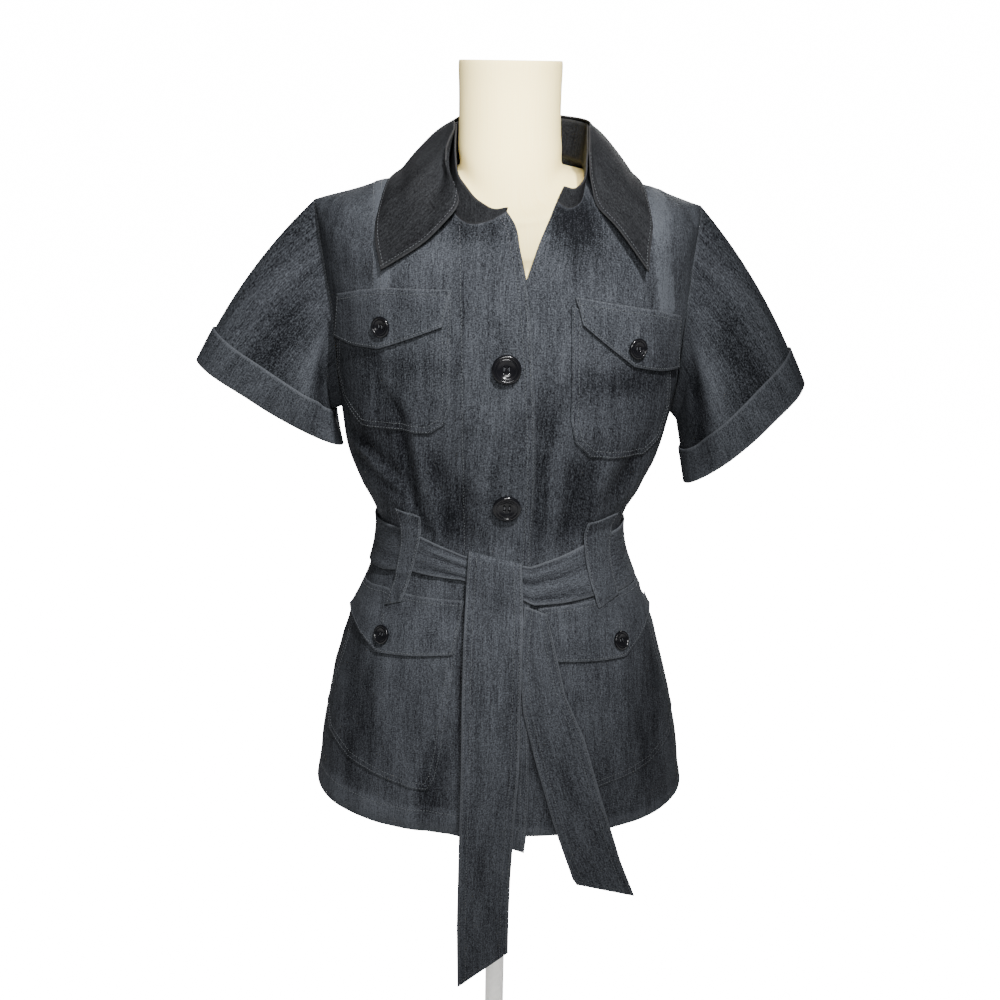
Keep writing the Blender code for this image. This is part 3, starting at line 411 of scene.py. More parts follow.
def fill_between(left, right, bottom, top):
    """A grid whose four sides are the given lines of angles and heights."""
    rows, columns = len(left), len(bottom)
    s = np.linspace(0, 1, columns)[None, :, None]
    t = np.linspace(0, 1, rows)[:, None, None]
    sides = (1 - s) * left[:, None] + s * right[:, None]
    straight_bottom = (1 - s) * bottom[0] + s * bottom[-1]
    straight_top = (1 - s) * top[0] + s * top[-1]
    return sides + (1 - t) * (bottom[None] - straight_bottom) + t ** 3 * (top[None] - straight_top)


def grid_normals(grid, closed=False):
    """The outward direction at every point of a grid; rows go up and columns go anticlockwise."""
    if closed:
        across = np.roll(grid, -1, 1) - np.roll(grid, 1, 1)
    else:
        across = np.gradient(grid, axis=1)
    return unit(np.cross(across, np.gradient(grid, axis=0)))


def grid_faces(rows, columns, closed, start=0, flip=False):
    """Four-sided faces between the points of a grid."""
    faces = []
    for row in range(rows - 1):
        for column in range(columns if closed else columns - 1):
            beside = (column + 1) % columns
            low, low_next = start + row * columns + column, start + row * columns + beside
            face = (low, low_next, low_next + columns, low + columns)
            faces.append(face[::-1] if flip else face)
    return faces


def tree_of(grid, closed=False):
    """A search tree of a grid's faces, for laying other pieces on it."""
    rows, columns = grid.shape[:2]
    return BVHTree.FromPolygons([Vector(p) for p in grid.reshape(-1, 3)], grid_faces(rows, columns, closed))


def rims(rows, columns, closed):
    """The grid's edges as closed loops of point numbers."""
    if closed:
        return [list(range(columns)), list(range((rows - 1) * columns, rows * columns))[::-1]]
    bottom = list(range(columns))
    right = [row * columns + columns - 1 for row in range(1, rows)]
    top = [(rows - 1) * columns + column for column in range(columns - 2, -1, -1)]
    left = [row * columns for row in range(rows - 2, 0, -1)]
    return [bottom + right + top + left]


def inward_neighbour(index, rows, columns, closed):
    """The point just inside a point on the grid's edge."""
    row, column = divmod(index, columns)
    row = min(max(row, 1), rows - 2)
    if not closed:
        column = min(max(column, 1), columns - 2)
    return row * columns + column


def cloth_lengths(grid):
    """Each grid point's place on the flat cloth, in metres: how far across it lies, and how far up."""
    across = np.linalg.norm(np.diff(grid, axis=1), axis=-1).mean(axis=0)
    up = np.linalg.norm(np.diff(grid, axis=0), axis=-1).mean(axis=1)
    u = np.concatenate(([0], np.cumsum(across)))
    v = np.concatenate(([0], np.cumsum(up)))
    return np.stack(np.meshgrid(u, v), -1)


ARC_STEPS = 20


def straight_threads(angle, height, points):
    """Places on the flat cloth with the threads upright: the way round from the centre, and up."""
    middle = np.where(np.abs(angle) > math.pi / 2, math.pi, 0.0)
    marks = np.linspace(0, 1, ARC_STEPS + 1)
    walk = np.stack([cornered_point(middle + (angle - middle) * mark, height) for mark in marks])
    round_way = np.linalg.norm(np.diff(walk, axis=0)[..., :2], axis=-1).sum(axis=0)
    u = round_way * np.sign(angle - middle)
    v = points[..., 2] - np.abs(points[..., 1])
    return np.stack((u, v), -1)


def new_object(name, data):
    """An object in the scene's collection."""
    item = bpy.data.objects.new(name, data)
    bpy.context.scene.collection.objects.link(item)
    return item


def add_mesh(name, points, faces, material, uv=None, edge=None, wear_and_shade=None):
    """One named object from points and faces; uv is its place on the flat cloth for each point."""
    mesh = bpy.data.meshes.new(name)
    mesh.from_pydata([tuple(p) for p in points], [], faces)
    mesh.validate()
    mesh.shade_smooth()
    mesh.materials.append(material)
    if uv is not None:
        layer = mesh.uv_layers.new(name="cloth")
        corners = np.empty(len(mesh.loops), int)
        mesh.loops.foreach_get("vertex_index", corners)
        layer.data.foreach_set("uv", np.asarray(uv, float)[corners].ravel())
    # edge marks the rims; the per-point tone is lighter from abrasion and darker with painted shade.
    for title, values in (("edge", edge), ("wear_and_shade", wear_and_shade)):
        if values is not None:
            layer = mesh.attributes.new(title, "FLOAT", "POINT")
            layer.data.foreach_set("value", np.asarray(values, float))
    item = new_object(name, mesh)
    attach(item, "root")
    return item


# The least share of its flat rectangle that a sheet's measured area is raised to.
LEAST_AREA_SHARE = 0.31
# How far a wall's rim stands out, as a share of the wall's thickness.
RIM_ROUNDING = 0.45


def declare(item, outer, closed=False):
    """Measures a wall's sheet of cloth from its own rows and columns: its width, its length and its area,
    which are not kept.
    """
    across = np.linalg.norm(np.diff(outer, axis=1), axis=-1).sum(axis=1)
    if closed:
        across = across + np.linalg.norm(outer[:, 0] - outer[:, -1], axis=-1)
    up = np.linalg.norm(np.diff(outer, axis=0), axis=-1).sum(axis=0)
    area = sum(face.area for face in item.data.polygons) / 2
    width, length = round(float(across.max()), 3), round(float(up.max()), 3)
    area = min(max(area, LEAST_AREA_SHARE * width * length), width * length)


def wall(name, outer, inner, material, closed=False, rubbed=1.0, wear_and_shade=None, turned=False, threads=None):
    """A fine cloth wall between an outer and an inner grid, with rounded rims.

    rubbed says how pale its rims are rubbed, and the per-point tone says how much lighter abrasion makes the
    cloth and how much painted shade darkens it, point by point. threads are the points' places on the flat
    cloth, and turned lays the threads along the rows."""
    rows, columns = outer.shape[:2]
    count = rows * columns
    outside, inside = outer.reshape(-1, 3), inner.reshape(-1, 3)
    points = [outside, inside]
    faces = grid_faces(rows, columns, closed) + grid_faces(rows, columns, closed, count, True)
    edge = np.zeros(count)
    start = 2 * count
    uv = (cloth_lengths(outer) if threads is None else threads).reshape(-1, 2)
    if turned:
        uv = uv[:, ::-1]
    # Per-point tone: lighter from abrasion, darker with painted shade.
    tone_shift = np.zeros(count) if wear_and_shade is None else np.asarray(wear_and_shade, float).reshape(-1)
    places = [uv, uv]
    edges = [edge, edge]
    tone_shifts = [tone_shift, tone_shift]
    for loop in rims(rows, columns, closed):
        neighbours = [inward_neighbour(index, rows, columns, closed) for index in loop]
        away = unit((outside[loop] + inside[loop] - outside[neighbours] - inside[neighbours]) / 2)
        thickness = np.linalg.norm(outside[loop] - inside[loop], axis=-1, keepdims=True)
        points.append((outside[loop] + inside[loop]) / 2 + away * thickness * RIM_ROUNDING)
        places.append(uv[loop])
        edges.append(np.full(len(loop), rubbed))
        tone_shifts.append(tone_shift[loop])
        edge[loop] = rubbed
        for step, index in enumerate(loop):
            after = (step + 1) % len(loop)
            follower = loop[after]
            faces.append((start + step, start + after, follower, index))
            faces.append((start + after, start + step, index + count, follower + count))
        start += len(loop)
    points, places, edges, tone_shifts = (np.concatenate(part) for part in (points, places, edges, tone_shifts))
    item = add_mesh(f"{name}_cloth", points, faces, material, places, edges, tone_shifts)
    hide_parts(name)
    return item


# How far over and under a spot other pieces are looked for, and when laying a piece on them ends.
REACH = 15 * MM
SETTLE_ROUNDS = 4
SETTLED = 0.02 * MM


def height_over(spot, normal, carriers):
    """How high a spot lies over the pieces below it, measured along a direction."""
    normal = Vector(normal)
    start = Vector(spot) + normal * REACH
    highest = -REACH
    for tree in carriers:
        hit = tree.ray_cast(start, -normal, 2 * REACH)
        if hit[0] is not None:
            highest = max(highest, REACH - hit[3])
    return -highest if highest > -REACH else None


def neighbours_of(field, closed, combine):
    """Each value of a grid combined with the ones beside, below and above it."""
    mode = "wrap" if closed else "edge"
    wide = np.pad(np.pad(field, ((0, 0), (1, 1)), mode=mode), ((1, 1), (0, 0)), mode="edge")
    parts = [wide[1:-1, 1:-1], wide[1:-1, :-2], wide[1:-1, 2:], wide[:-2, 1:-1], wide[2:, 1:-1]]
    return combine(np.stack(parts), axis=0)


def settle(grid, carriers, gap, closed=False, spread=3):
    """Moves a fine grid out until it lies a gap over what carries it, and evens the cloth there."""
    normals = grid_normals(grid, closed)
    for _ in range(SETTLE_ROUNDS):
        push = np.zeros(grid.shape[:2])
        for spot in np.ndindex(push.shape):
            height = height_over(grid[spot], normals[spot], carriers)
            if height is not None and height < gap:
                push[spot] = gap - height
        if push.max() < SETTLED:
            break
        soft = push
        for _ in range(spread):
            soft = neighbours_of(soft, closed, np.max)
        for _ in range(spread):
            soft = neighbours_of(soft, closed, np.mean)
        grid = grid + normals * np.maximum(push, soft)[..., None]
    return grid


# Millimetres between a patch's points, and the least width of a side that is counted for them.
PATCH_STEP = 2.2
NARROWEST_SIDE = 4


def patch(name, lines, carriers, out, flare, material, rubbed, strip=False):
    """A piece of cloth between two outlines of (x, z), made from the body's points moved out.

    flare is how much further its lower edge stands out. A strip runs straight along the body's
    surface; other pieces run straight as seen from the front."""
    top, bottom = (np.array(line, float) for line in lines)
    marks = np.arange(len(top))
    widths = np.linalg.norm(np.diff((top + bottom) / 2, axis=0), axis=1)
    counts = np.maximum(np.ceil(np.maximum(widths, NARROWEST_SIDE) / PATCH_STEP).astype(int), 2)
    steps = np.concatenate([side + np.arange(count) / count for side, count in enumerate(counts)])
    steps = np.append(steps, len(top) - 1)
    top_line, bottom_line = (np.stack([np.interp(steps, marks, column) for column in line.T], -1)
                             for line in (top, bottom))
    depth = np.linalg.norm(top - bottom, axis=1).max()
    share = np.linspace(0, 1, int(depth / PATCH_STEP) + 1)[:, None, None]
    if strip:
        top_line, bottom_line = on_body(*top_line.T), on_body(*bottom_line.T)
    spots = bottom_line[None] * (1 - share) + top_line[None] * share
    if not strip:
        spots = on_body(spots[..., 0], spots[..., 1])
    points, normals = body_points(spots[..., 0], spots[..., 1], FRONT_FOLDS)
    inner = settle(points + normals * (out + flare * (1 - share) ** 2), carriers, LAY_GAP)
    outer = inner + grid_normals(inner) * POCKET_CLOTH
    threads = straight_threads(spots[..., 0], spots[..., 1], points)
    # Lighter from abrasion on fold ridges, and painted shade in fold valleys and under the collar, the flaps
    # and the arms.
    wear_and_shade = wear_and_shade_of(points, FRONT_FOLDS, 0)
    item = wall(name, outer, inner, material, rubbed=rubbed, wear_and_shade=wear_and_shade, threads=threads)
    declare(item, outer)
    return outer


LOWER_ROWS = (HEM, 500, 545, 590, 635, 675, 710, 740, 770, 805, 842, ARMPIT)
ARMHOLE_START = (len(LOWER_ROWS) - 1) * FINE_ROWS
ARMHOLE_STEPS = 11 * FINE_ROWS
SHOULDER_STEPS = 6 * FINE_COLUMNS
NECKLINE_STEPS = 11 * FINE_COLUMNS
BACK_NECK_STEPS = 12 * FINE_COLUMNS
ARMHOLE_REACH_FRONT = math.radians(16)
ARMHOLE_REACH_BACK = math.radians(14)
ARMHOLE_FULLNESS = 0.75
LAP_LIFT = 2.9 * MM
LAP_FROM = -52
LAP_RUN = 24
# The share of a front's hem from which it droops towards its front corner.
DROOP_FROM = 0.8


def lower_rows():
    """The heights of the fine rows up to the armpit."""
    marks = np.arange(len(LOWER_ROWS))
    return np.interp(np.linspace(0, marks[-1], ARMHOLE_START + 1), marks, LOWER_ROWS)


def side_line(side_angle, inward, reach):
    """The side seam and then the armhole, as angles and heights."""
    seam = [(side_angle, height) for height in lower_rows()]
    for step in range(1, ARMHOLE_STEPS + 1):
        share = step / ARMHOLE_STEPS
        turn = inward * reach * max(math.sin(math.pi * share), 0) ** ARMHOLE_FULLNESS
        seam.append((side_angle + turn, ARMPIT + (SHOULDER_TIP - ARMPIT) * share))
    return np.array(seam)


def shoulder_line(side_angle):
    """The shoulder seam from its tip to the neck."""
    heights = np.linspace(SHOULDER_TIP, NECK, SHOULDER_STEPS + 1)
    return np.array([(side_angle, height) for height in heights])


def edge_line(edge, low):
    """The front edge, with one point for each row of the grid."""
    edge = np.array(edge, float)
    lower = lower_rows()
    lower[0] = low
    upper = np.linspace(ARMPIT, edge[-1, 1], ARMHOLE_STEPS + 1)[1:]
    heights = np.concatenate((lower, upper))
    return on_body(curve_through(edge[:, 1], edge[:, 0], heights), heights)


def front_grid(side, edge, neckline):
    """Angles and heights of a front, from its side seam to its front edge."""
    side_angle = side * math.pi / 2
    left = side_line(side_angle, -side, ARMHOLE_REACH_FRONT)
    right = edge_line(edge, edge[0][1])
    neck = smooth_along(neckline, np.linspace(0, 1, NECKLINE_STEPS + 1)[1:])
    top = np.concatenate((shoulder_line(side_angle), on_body(neck[:, 0], neck[:, 1])))
    top[-1] = right[-1]
    share = np.linspace(0, 1, len(top))
    droop = np.clip((share - DROOP_FROM) / (1 - DROOP_FROM), 0, 1) ** 2 * (edge[0][1] - HEM)
    bottom = np.stack((side_angle + (right[0, 0] - side_angle) * share, HEM + droop), -1)
    bottom[-1] = right[0]
    return fill_between(left, right, bottom, top)


def back_grid():
    """Angles and heights of the back, from the wearer's left side seam to the right one."""
    left = side_line(math.pi / 2, 1, ARMHOLE_REACH_BACK)
    right = side_line(3 * math.pi / 2, -1, ARMHOLE_REACH_BACK)
    turns = np.linspace(math.pi / 2, 3 * math.pi / 2, BACK_NECK_STEPS + 1)[1:-1]
    neck = np.stack((turns, np.full(turns.shape, NECK)), -1)
    top = np.concatenate((shoulder_line(math.pi / 2), neck, shoulder_line(3 * math.pi / 2)[::-1]))
    turns = np.linspace(math.pi / 2, 3 * math.pi / 2, len(top))
    bottom = np.stack((turns, np.full(turns.shape, HEM)), -1)
    return fill_between(left, right, bottom, top)


def panel(name, grid, folds, aside, lift, material):
    """A body panel as a wall; returns its outer and inner points."""
    points, normals = body_points(grid[..., 0], grid[..., 1], folds)
    rise = lift(points) + sewn_height(points)
    points = points + normals * rise[..., None] + np.array((0, aside, 0))
    inner = points - normals * CLOTH
    # Lighter from abrasion on fold ridges and sewn bands, darker along the placket's seam, and painted shade
    # in fold valleys and under the collar, the flaps and the arms.
    wear_and_shade = wear_and_shade_of(points, folds, np.maximum(sewn_height(points), -SEAM_DEPTH_WEAR) / BAND_WEAR)
    threads = straight_threads(grid[..., 0], grid[..., 1], points)
    item = wall(name, points, inner, material, rubbed=PANEL_RUBBED, wear_and_shade=wear_and_shade, threads=threads)
    declare(item, points)
    return points, inner


def no_lift(points):
    """The other panels lie on the body itself."""
    return np.zeros(points.shape[:-1])


def lap_lift(points):
    """The over front rises over the under front's edge, and lies level from there to its own edge."""
    return LAP_LIFT * eased((points[..., 0] / MM - LAP_FROM) / LAP_RUN)


def beyond_edge(outer, inner, towards, gap):
    """Moves the two lines of a panel's edge off it by a gap, along the panel's own surface."""
    tangent = np.gradient(outer, axis=0)
    away = unit(np.cross(tangent, outer - inner))
    away *= np.sign(np.sum(away * (towards - outer), axis=-1, keepdims=True))
    return outer + away * gap, inner + away * gap


def armhole(front, back_side):
    """The armhole's edge from its top, down the front and up the back; outer and inner lines."""
    lines = []
    for front_points, back_points in zip(front, back_side):
        down = front_points[::-1]
        middle_top = (down[0] + back_points[-1]) / 2
        middle_low = (down[-1] + back_points[0]) / 2
        lines.append(np.concatenate(([middle_top], down[1:-1], [middle_low], back_points[1:-1])))
    return lines


# How lightly the rims of the cloth pieces are worn.
PANEL_RUBBED = 0.45
SLEEVE_RUBBED = 0.5
POCKET_RUBBED = 0.3
FLAP_RUBBED = 0.6
LOOP_RUBBED = 0.8

SLEEVE_COLUMNS = ("outer_x", "outer_z", "inner_x", "inner_z", "middle_y", "front_depth", "back_depth",
                  "top_bulge", "low_bulge")
SLEEVES = {
    "sleeve_right": (-309, 929, -167, 843, -10, 30, 30, 9, 12),
    "sleeve_left": (302, 916, 190, 809, -10, 44, 36, 9, 6),
}
CUFF_HEIGHT = 35 * MM
LEAST_SLEEVE = 0.45
CUFF_GAP = 0.7 * MM
CUFF_BEYOND = 1.0 * MM
UNDERARM_GAP = 1.0 * MM
CUFF_CLOTH = 1.6 * MM
# The share of its length over which the sleeve steps out below the armhole, and where its underarm starts.
SLEEVE_HEAD = 0.12
UNDERARM_FROM = 0.3
# The sleeve's first inner ring follows the panel's where the two face the same way.
FOLLOWS_FROM = 0.1
FOLLOWS_RUN = 0.5
# How much of the sleeve's bulge goes outward and up, and how far it goes to the front and back.
BULGE_OUT = 0.68
BULGE_UP = 0.73
BULGE_DEPTH = 6
SLEEVE_STEPS = np.linspace(0, 1, 34)
CUFF_STEPS = np.linspace(0, 1, 13)[1:]
# Folds down a sleeve: the way round from its top (front positive) at its head and at its hem in
# degrees, how wide it is in degrees, how deep in millimetres, and the shares of the length it runs over.
SLEEVE_FOLD_COLUMNS = ("head", "hem", "width", "depth", "from", "to")
SLEEVE_FOLDS = {
    "sleeve_right": (
        (118, 150, 13, 3.0, 0.10, 0.75),
        (92, 120, 12, -1.6, 0.05, 0.8),
        (62, 72, 16, 2.0, 0.15, 1.0),
        (35, 40, 14, -1.2, 0.1, 1.0),
        (-70, -80, 16, 2.0, 0.1, 1.0),
        (-115, -140, 15, 2.4, 0.1, 0.8),
    ),
    "sleeve_left": (
        (116, 146, 14, 3.2, 0.08, 0.8),
        (88, 112, 13, -1.8, 0.05, 0.9),
        (58, 66, 16, 2.2, 0.2, 1.0),
        (30, 36, 14, -1.2, 0.1, 1.0),
        (-70, -80, 16, 2.0, 0.1, 1.0),
        (-115, -140, 15, 2.4, 0.1, 0.8),
    ),
}
SLEEVE_FOLD_FADE = 0.2
# How far a sleeve's folds move out or in to count as 1 in the per-point tone (ridges lighter from abrasion,
# valleys darker with painted shade), and the painted shade that darkens the whole sleeve.
SLEEVE_FOLD_WEAR_AND_SHADE = 2 * MM
SLEEVE_PAINTED_SHADE = 0.5


def sleeve_fold_height(name, turn, shares):
    """How far a sleeve's folds move each point out, for its rings' shares and its ways round."""
    degrees = np.degrees(turn)[None]
    down = np.stack(shares)
    height = np.zeros(down.shape)
    for row in SLEEVE_FOLDS[name]:
        fold = dict(zip(SLEEVE_FOLD_COLUMNS, row))
        aside = (degrees - fold["head"] - (fold["hem"] - fold["head"]) * down + 180) % 360 - 180
        begins = np.clip((down - fold["from"]) / SLEEVE_FOLD_FADE, 0, 1)
        ends = np.clip((fold["to"] + SLEEVE_FOLD_FADE - down) / SLEEVE_FOLD_FADE, 0, 1)
        height -= fold["depth"] * np.exp(-(aside / fold["width"]) ** 2) * begins * ends
    return height * MM


def outward(grid, closed=True):
    """Directions away from the middle of a tube's rings."""
    normals = grid_normals(grid, closed)
    middle = grid.mean(axis=1, keepdims=True)
    return normals * np.sign(np.mean(np.sum(normals * (grid - middle), axis=-1)))


def sleeve(name, edge, cloth):
    """A sleeve from the armhole's edge to its hem, and its turned-up cuff."""
    size = dict(zip(SLEEVE_COLUMNS, SLEEVES[name]))
    start, start_inner = beyond_edge(*edge, edge[0].mean(axis=0), SEAM_GAP)
    turn = np.arange(len(start)) * 2 * math.pi / len(start)
    cosine, sine = np.cos(turn), np.sin(turn)
    panel_faces = unit(edge[0] - edge[1])
    start = start + panel_faces * (np.clip(UNDERARM_FROM - cosine, 0, 1) * UNDERARM_GAP)[:, None]
    side = np.sign(size["outer_x"])
    depth = np.where(sine > 0, size["front_depth"], size["back_depth"])
    x, z = ((size[f"outer_{axis}"] + size[f"inner_{axis}"]) / 2
            + (size[f"outer_{axis}"] - size[f"inner_{axis}"]) / 2 * cosine for axis in "xz")
    hem = np.stack((x, size["middle_y"] - depth * sine, z), -1) * MM
    top, low = np.maximum(cosine, 0), np.maximum(-cosine, 0)
    puff = size["top_bulge"] * top
    bulge = np.stack((side * BULGE_OUT * puff, -BULGE_DEPTH * sine, BULGE_UP * puff), -1) * MM
    underarm = np.stack((side * size["low_bulge"] * low, 0 * low, 0 * low), -1) * MM

    def at(share):
        arch = (4 * share * (1 - share))[:, None]
        step_out = (np.minimum(share / SLEEVE_HEAD, 1) * (1 - share))[:, None]
        return start + (hem - start) * share[:, None] + bulge * arch + underarm * step_out

    length = np.linalg.norm(hem - start, axis=-1)
    cuff_start = np.maximum(1 - CUFF_HEIGHT / length, LEAST_SLEEVE)
    shares = [cuff_start * step for step in SLEEVE_STEPS]
    shares += [cuff_start + (1 - cuff_start) * step for step in CUFF_STEPS]
    outer = np.stack([at(share) for share in shares])
    folded = sleeve_fold_height(name, turn, shares)
    outer = outer + outward(outer) * folded[..., None]
    normals = outward(outer)
    inner = outer - normals * CLOTH
    alike = np.sum(panel_faces * normals[0], axis=-1)
    follows = np.clip((alike + FOLLOWS_FROM) / FOLLOWS_RUN, 0, 1)
    inner[0] += (start_inner - inner[0]) * follows[:, None]
    # Ridges lighter from abrasion; fold valleys and the whole sleeve darker with painted shade.
    wear_and_shade = folded / SLEEVE_FOLD_WEAR_AND_SHADE - SLEEVE_PAINTED_SHADE
    item = wall(name, outer, inner, cloth, closed=True, rubbed=SLEEVE_RUBBED, wear_and_shade=wear_and_shade)
    declare(item, outer, closed=True)
    cuff = outer[len(SLEEVE_STEPS) - 1:]
    cuff_normals = normals[len(SLEEVE_STEPS) - 1:]
    cuff_inner = cuff + cuff_normals * CUFF_GAP
    cuff_inner[-1] += unit(cuff[-1] - cuff[-2]) * CUFF_BEYOND
    cuff_outer = cuff_inner + cuff_normals * CUFF_CLOTH
    item = wall(name.replace("sleeve", "cuff"), cuff_outer, cuff_inner, cloth, closed=True)
    declare(item, cuff_outer, closed=True)


# The neck band's top edge: how far round it is from the over front's corner, as a share, and its
# shift from the seam in x, y and z.
STAND_TOP = (
    (0.000, 1, 0, 3),
    (0.036, 1, 1, 10),
    (0.060, 1, 2, 19),
    (0.090, 2, 3, 29),
    (0.160, 4, 7, 32),
    (0.230, 5, 8, 35),
    (0.310, 5, 3, 37),
    (0.430, 1, -3, 35),
    (0.550, 3, 0, 30),
    (0.670, 6, -3, 34),
    (0.790, 3, 0, 36),
    (0.860, 2, -1, 29),
    (0.900, 2, -2, 27),
    (0.950, 5, 0, 21),
    (1.000, 6, 3, 13),
)

# The collar's fall: each row is how far round it is, and the x, y and z of three points of one line
# from the roll to the outer edge.
LEAF_LINES = (
    (0.200, -43, -81, 1088, -68, -98, 1066, -115, -98, 1035),
    (0.250, -57, -60, 1113, -88, -86, 1086, -118, -88, 1053),
    (0.290, -65, -36, 1135, -92, -58, 1112, -113, -62, 1080),
    (0.335, -70, 0, 1150, -90, 0, 1132, -106, -8, 1112),
    (0.420, -62, 38, 1155, -82, 42, 1130, -97, 48, 1101),
    (0.490, -30, 66, 1156, -44, 78, 1128, -54, 88, 1096),
    (0.550, 12, 74, 1156, 12, 86, 1126, 12, 95, 1092),
    (0.610, 54, 66, 1156, 68, 78, 1128, 78, 88, 1096),
    (0.680, 86, 38, 1155, 106, 42, 1130, 121, 48, 1101),
    (0.765, 92, 0, 1148, 110, 0, 1130, 124, -8, 1112),
    (0.810, 90, -33, 1132, 112, -54, 1110, 130, -60, 1078),
    (0.850, 84, -56, 1110, 108, -80, 1083, 132, -84, 1052),
    (0.885, 80, -66, 1098, 104, -92, 1072, 131, -97, 1037),
)
ROLL_OVER = 2.6 * MM
STAND_STEPS = 14
LEAF_STEPS = 36
LEAF_BETWEEN = 14
NECK_MIDDLE = (9, 0, 1200)


def neck_seam(over, back, under):
    """The neck seam from the over front's corner round to the under front's; outer and inner lines."""
    lines = []
    for over_points, back_points, under_points in zip(over, back, under):
        left = over_points[-1, SHOULDER_STEPS:][::-1]
        rear = back_points[-1, SHOULDER_STEPS:-SHOULDER_STEPS][::-1]
        right = under_points[-1, SHOULDER_STEPS:]
        lines.append(np.concatenate((left[:-1], [(left[-1] + rear[0]) / 2], rear[1:-1],
                                     [(rear[-1] + right[0]) / 2], right[1:])))
    return lines


def collar(seam, carriers, cloth):
    """The neck band and the fall that turns over it."""
    base, base_inner = beyond_edge(*seam, np.array(NECK_MIDDLE) * MM, SEAM_GAP)
    share = lengths_along(base)
    stand = np.array(STAND_TOP)
    top = base + curves_through(stand[:, 0], stand[:, 1:], share) * MM
    climb = np.linspace(0, 1, STAND_STEPS)[:, None, None]
    outer = base[None] * (1 - climb) + top[None] * climb
    normals = grid_normals(outer[:, ::-1])[:, ::-1]
    inner = outer - normals * COLLAR_CLOTH
    inner[0] = base_inner
    item = wall("collar_stand", outer[:, ::-1], inner[:, ::-1], cloth)
    declare(item, outer)

    fall = np.array(LEAF_LINES)
    roll = np.stack([np.interp(fall[:, 0], share, column) for column in top.T], -1)
    roll[:, 2] += ROLL_OVER
    lines = np.concatenate((roll[:, None], fall[:, 1:].reshape(-1, 3, 3) * MM), axis=1)
    down = np.linspace(0, 1, LEAF_STEPS + 1)
    falls = np.stack([smooth_along(line, down) for line in lines])
    leaf = np.swapaxes(smooth_rows(falls, LEAF_BETWEEN), 0, 1)[::-1, ::-1]
    leaf = settle(leaf, carriers + [tree_of(outer)], LAY_GAP, spread=5)
    leaf_outer = leaf + grid_normals(leaf) * COLLAR_CLOTH
    item = wall("collar_leaf", leaf_outer, leaf, cloth)
    declare(item, leaf_outer)
    return leaf_outer


# The belt round the waist: where its lower and upper edges run at each angle from the centre front.
BELT_COLUMNS = ("angle", "low", "high")
BELT_LINE = (
    (-180, 716, 770), (-90, 715, 768), (-60, 722, 772), (-43, 731, 774), (-15, 730, 756), (0, 722, 752),
    (12, 706, 745), (25, 706, 752), (43, 708, 764), (60, 704, 766), (90, 700, 765), (180, 716, 770),
)
BELT_SIDES = 264
BELT_ROWS = 16
BELT_START = 1.5 * MM
# The belt's cloth gathers into small folds on both sides of its crossing.
KNOT_ANGLE = -3
GATHER_REACH = 30
GATHER_COUNT = 2.5
GATHER_HEIGHT = 0.9 * MM


def waist_belt(carriers, cloth):
    """The belt as a closed band that lies on the body."""
    belt = table(BELT_LINE, BELT_COLUMNS)
    degrees = -180 + 360 * np.arange(BELT_SIDES) / BELT_SIDES
    low = np.interp(degrees, belt["angle"], belt["low"])
    high = np.interp(degrees, belt["angle"], belt["high"])
    climb = np.linspace(0, 1, BELT_ROWS + 1)[:, None]
    heights = low[None] * (1 - climb) + high[None] * climb
    angles = np.broadcast_to(np.radians(degrees), heights.shape)
    pull = np.exp(-((degrees[None] - KNOT_ANGLE) / GATHER_REACH) ** 2)
    gathers = GATHER_HEIGHT * np.cos(2 * math.pi * GATHER_COUNT * climb + pull) * pull
    out = BELT_START + GATHER_HEIGHT * pull + gathers
    inner = ring_point(angles, heights) + ring_normal(angles, heights) * out[..., None]
    inner = settle(inner, carriers, LAY_GAP, closed=True)
    outer = inner + outward(inner) * BELT_CLOTH
    # The gathers' ridges come out lighter from abrasion and their valleys darker with painted shade.
    item = wall("belt_waist", outer, inner, cloth, closed=True, wear_and_shade=gathers / GATHER_HEIGHT, turned=True)
    declare(item, outer, closed=True)
    return outer


# Hanging belt ends, top to bottom: left x, left z, right x, right z, y.
END_COLUMNS = ("left_x", "left_z", "right_x", "right_z", "y")
LONG_END = (
    (-32, 757, 20, 745, -106),
    (-34, 722, 22, 708, -110),
    (-36, 670, 22, 665, -121),
    (-37, 600, 21, 600, -134),
    (-37, 540, 21, 540, -143),
    (-38, 480, 17, 480, -149),
    (-39, 420, 14, 420, -152),
    (-40, 360, 13, 370, -153),
    (-39, 283, 13, 327, -152),
)
SHORT_END = (
    (24, 706, 46, 697, -110),
    (20, 655, 54, 668, -120),
    (25, 600, 66, 618, -130),
    (38, 548, 86, 575, -138),
    (58, 480, 106, 508, -145),
    (80, 417, 127, 441, -150),
    (84, 412, 143, 400, -151),
)
TURN_RADIUS = 3.2 * MM
TURN_ANGLE = math.radians(115)
TURN_STEPS = 9


def turned_over(strip):
    """Adds rows that roll back from the strip's upper edge, where it comes over the belt."""
    up = unit(strip[-1] - strip[-2])
    back = -grid_normals(strip)[-1]
    rolled = []
    for step in range(1, TURN_STEPS + 1):
        turn = TURN_ANGLE * step / TURN_STEPS
        rolled.append(strip[-1] + (up * math.sin(turn) + back * (1 - math.cos(turn))) * TURN_RADIUS)
    return np.concatenate((strip, rolled))


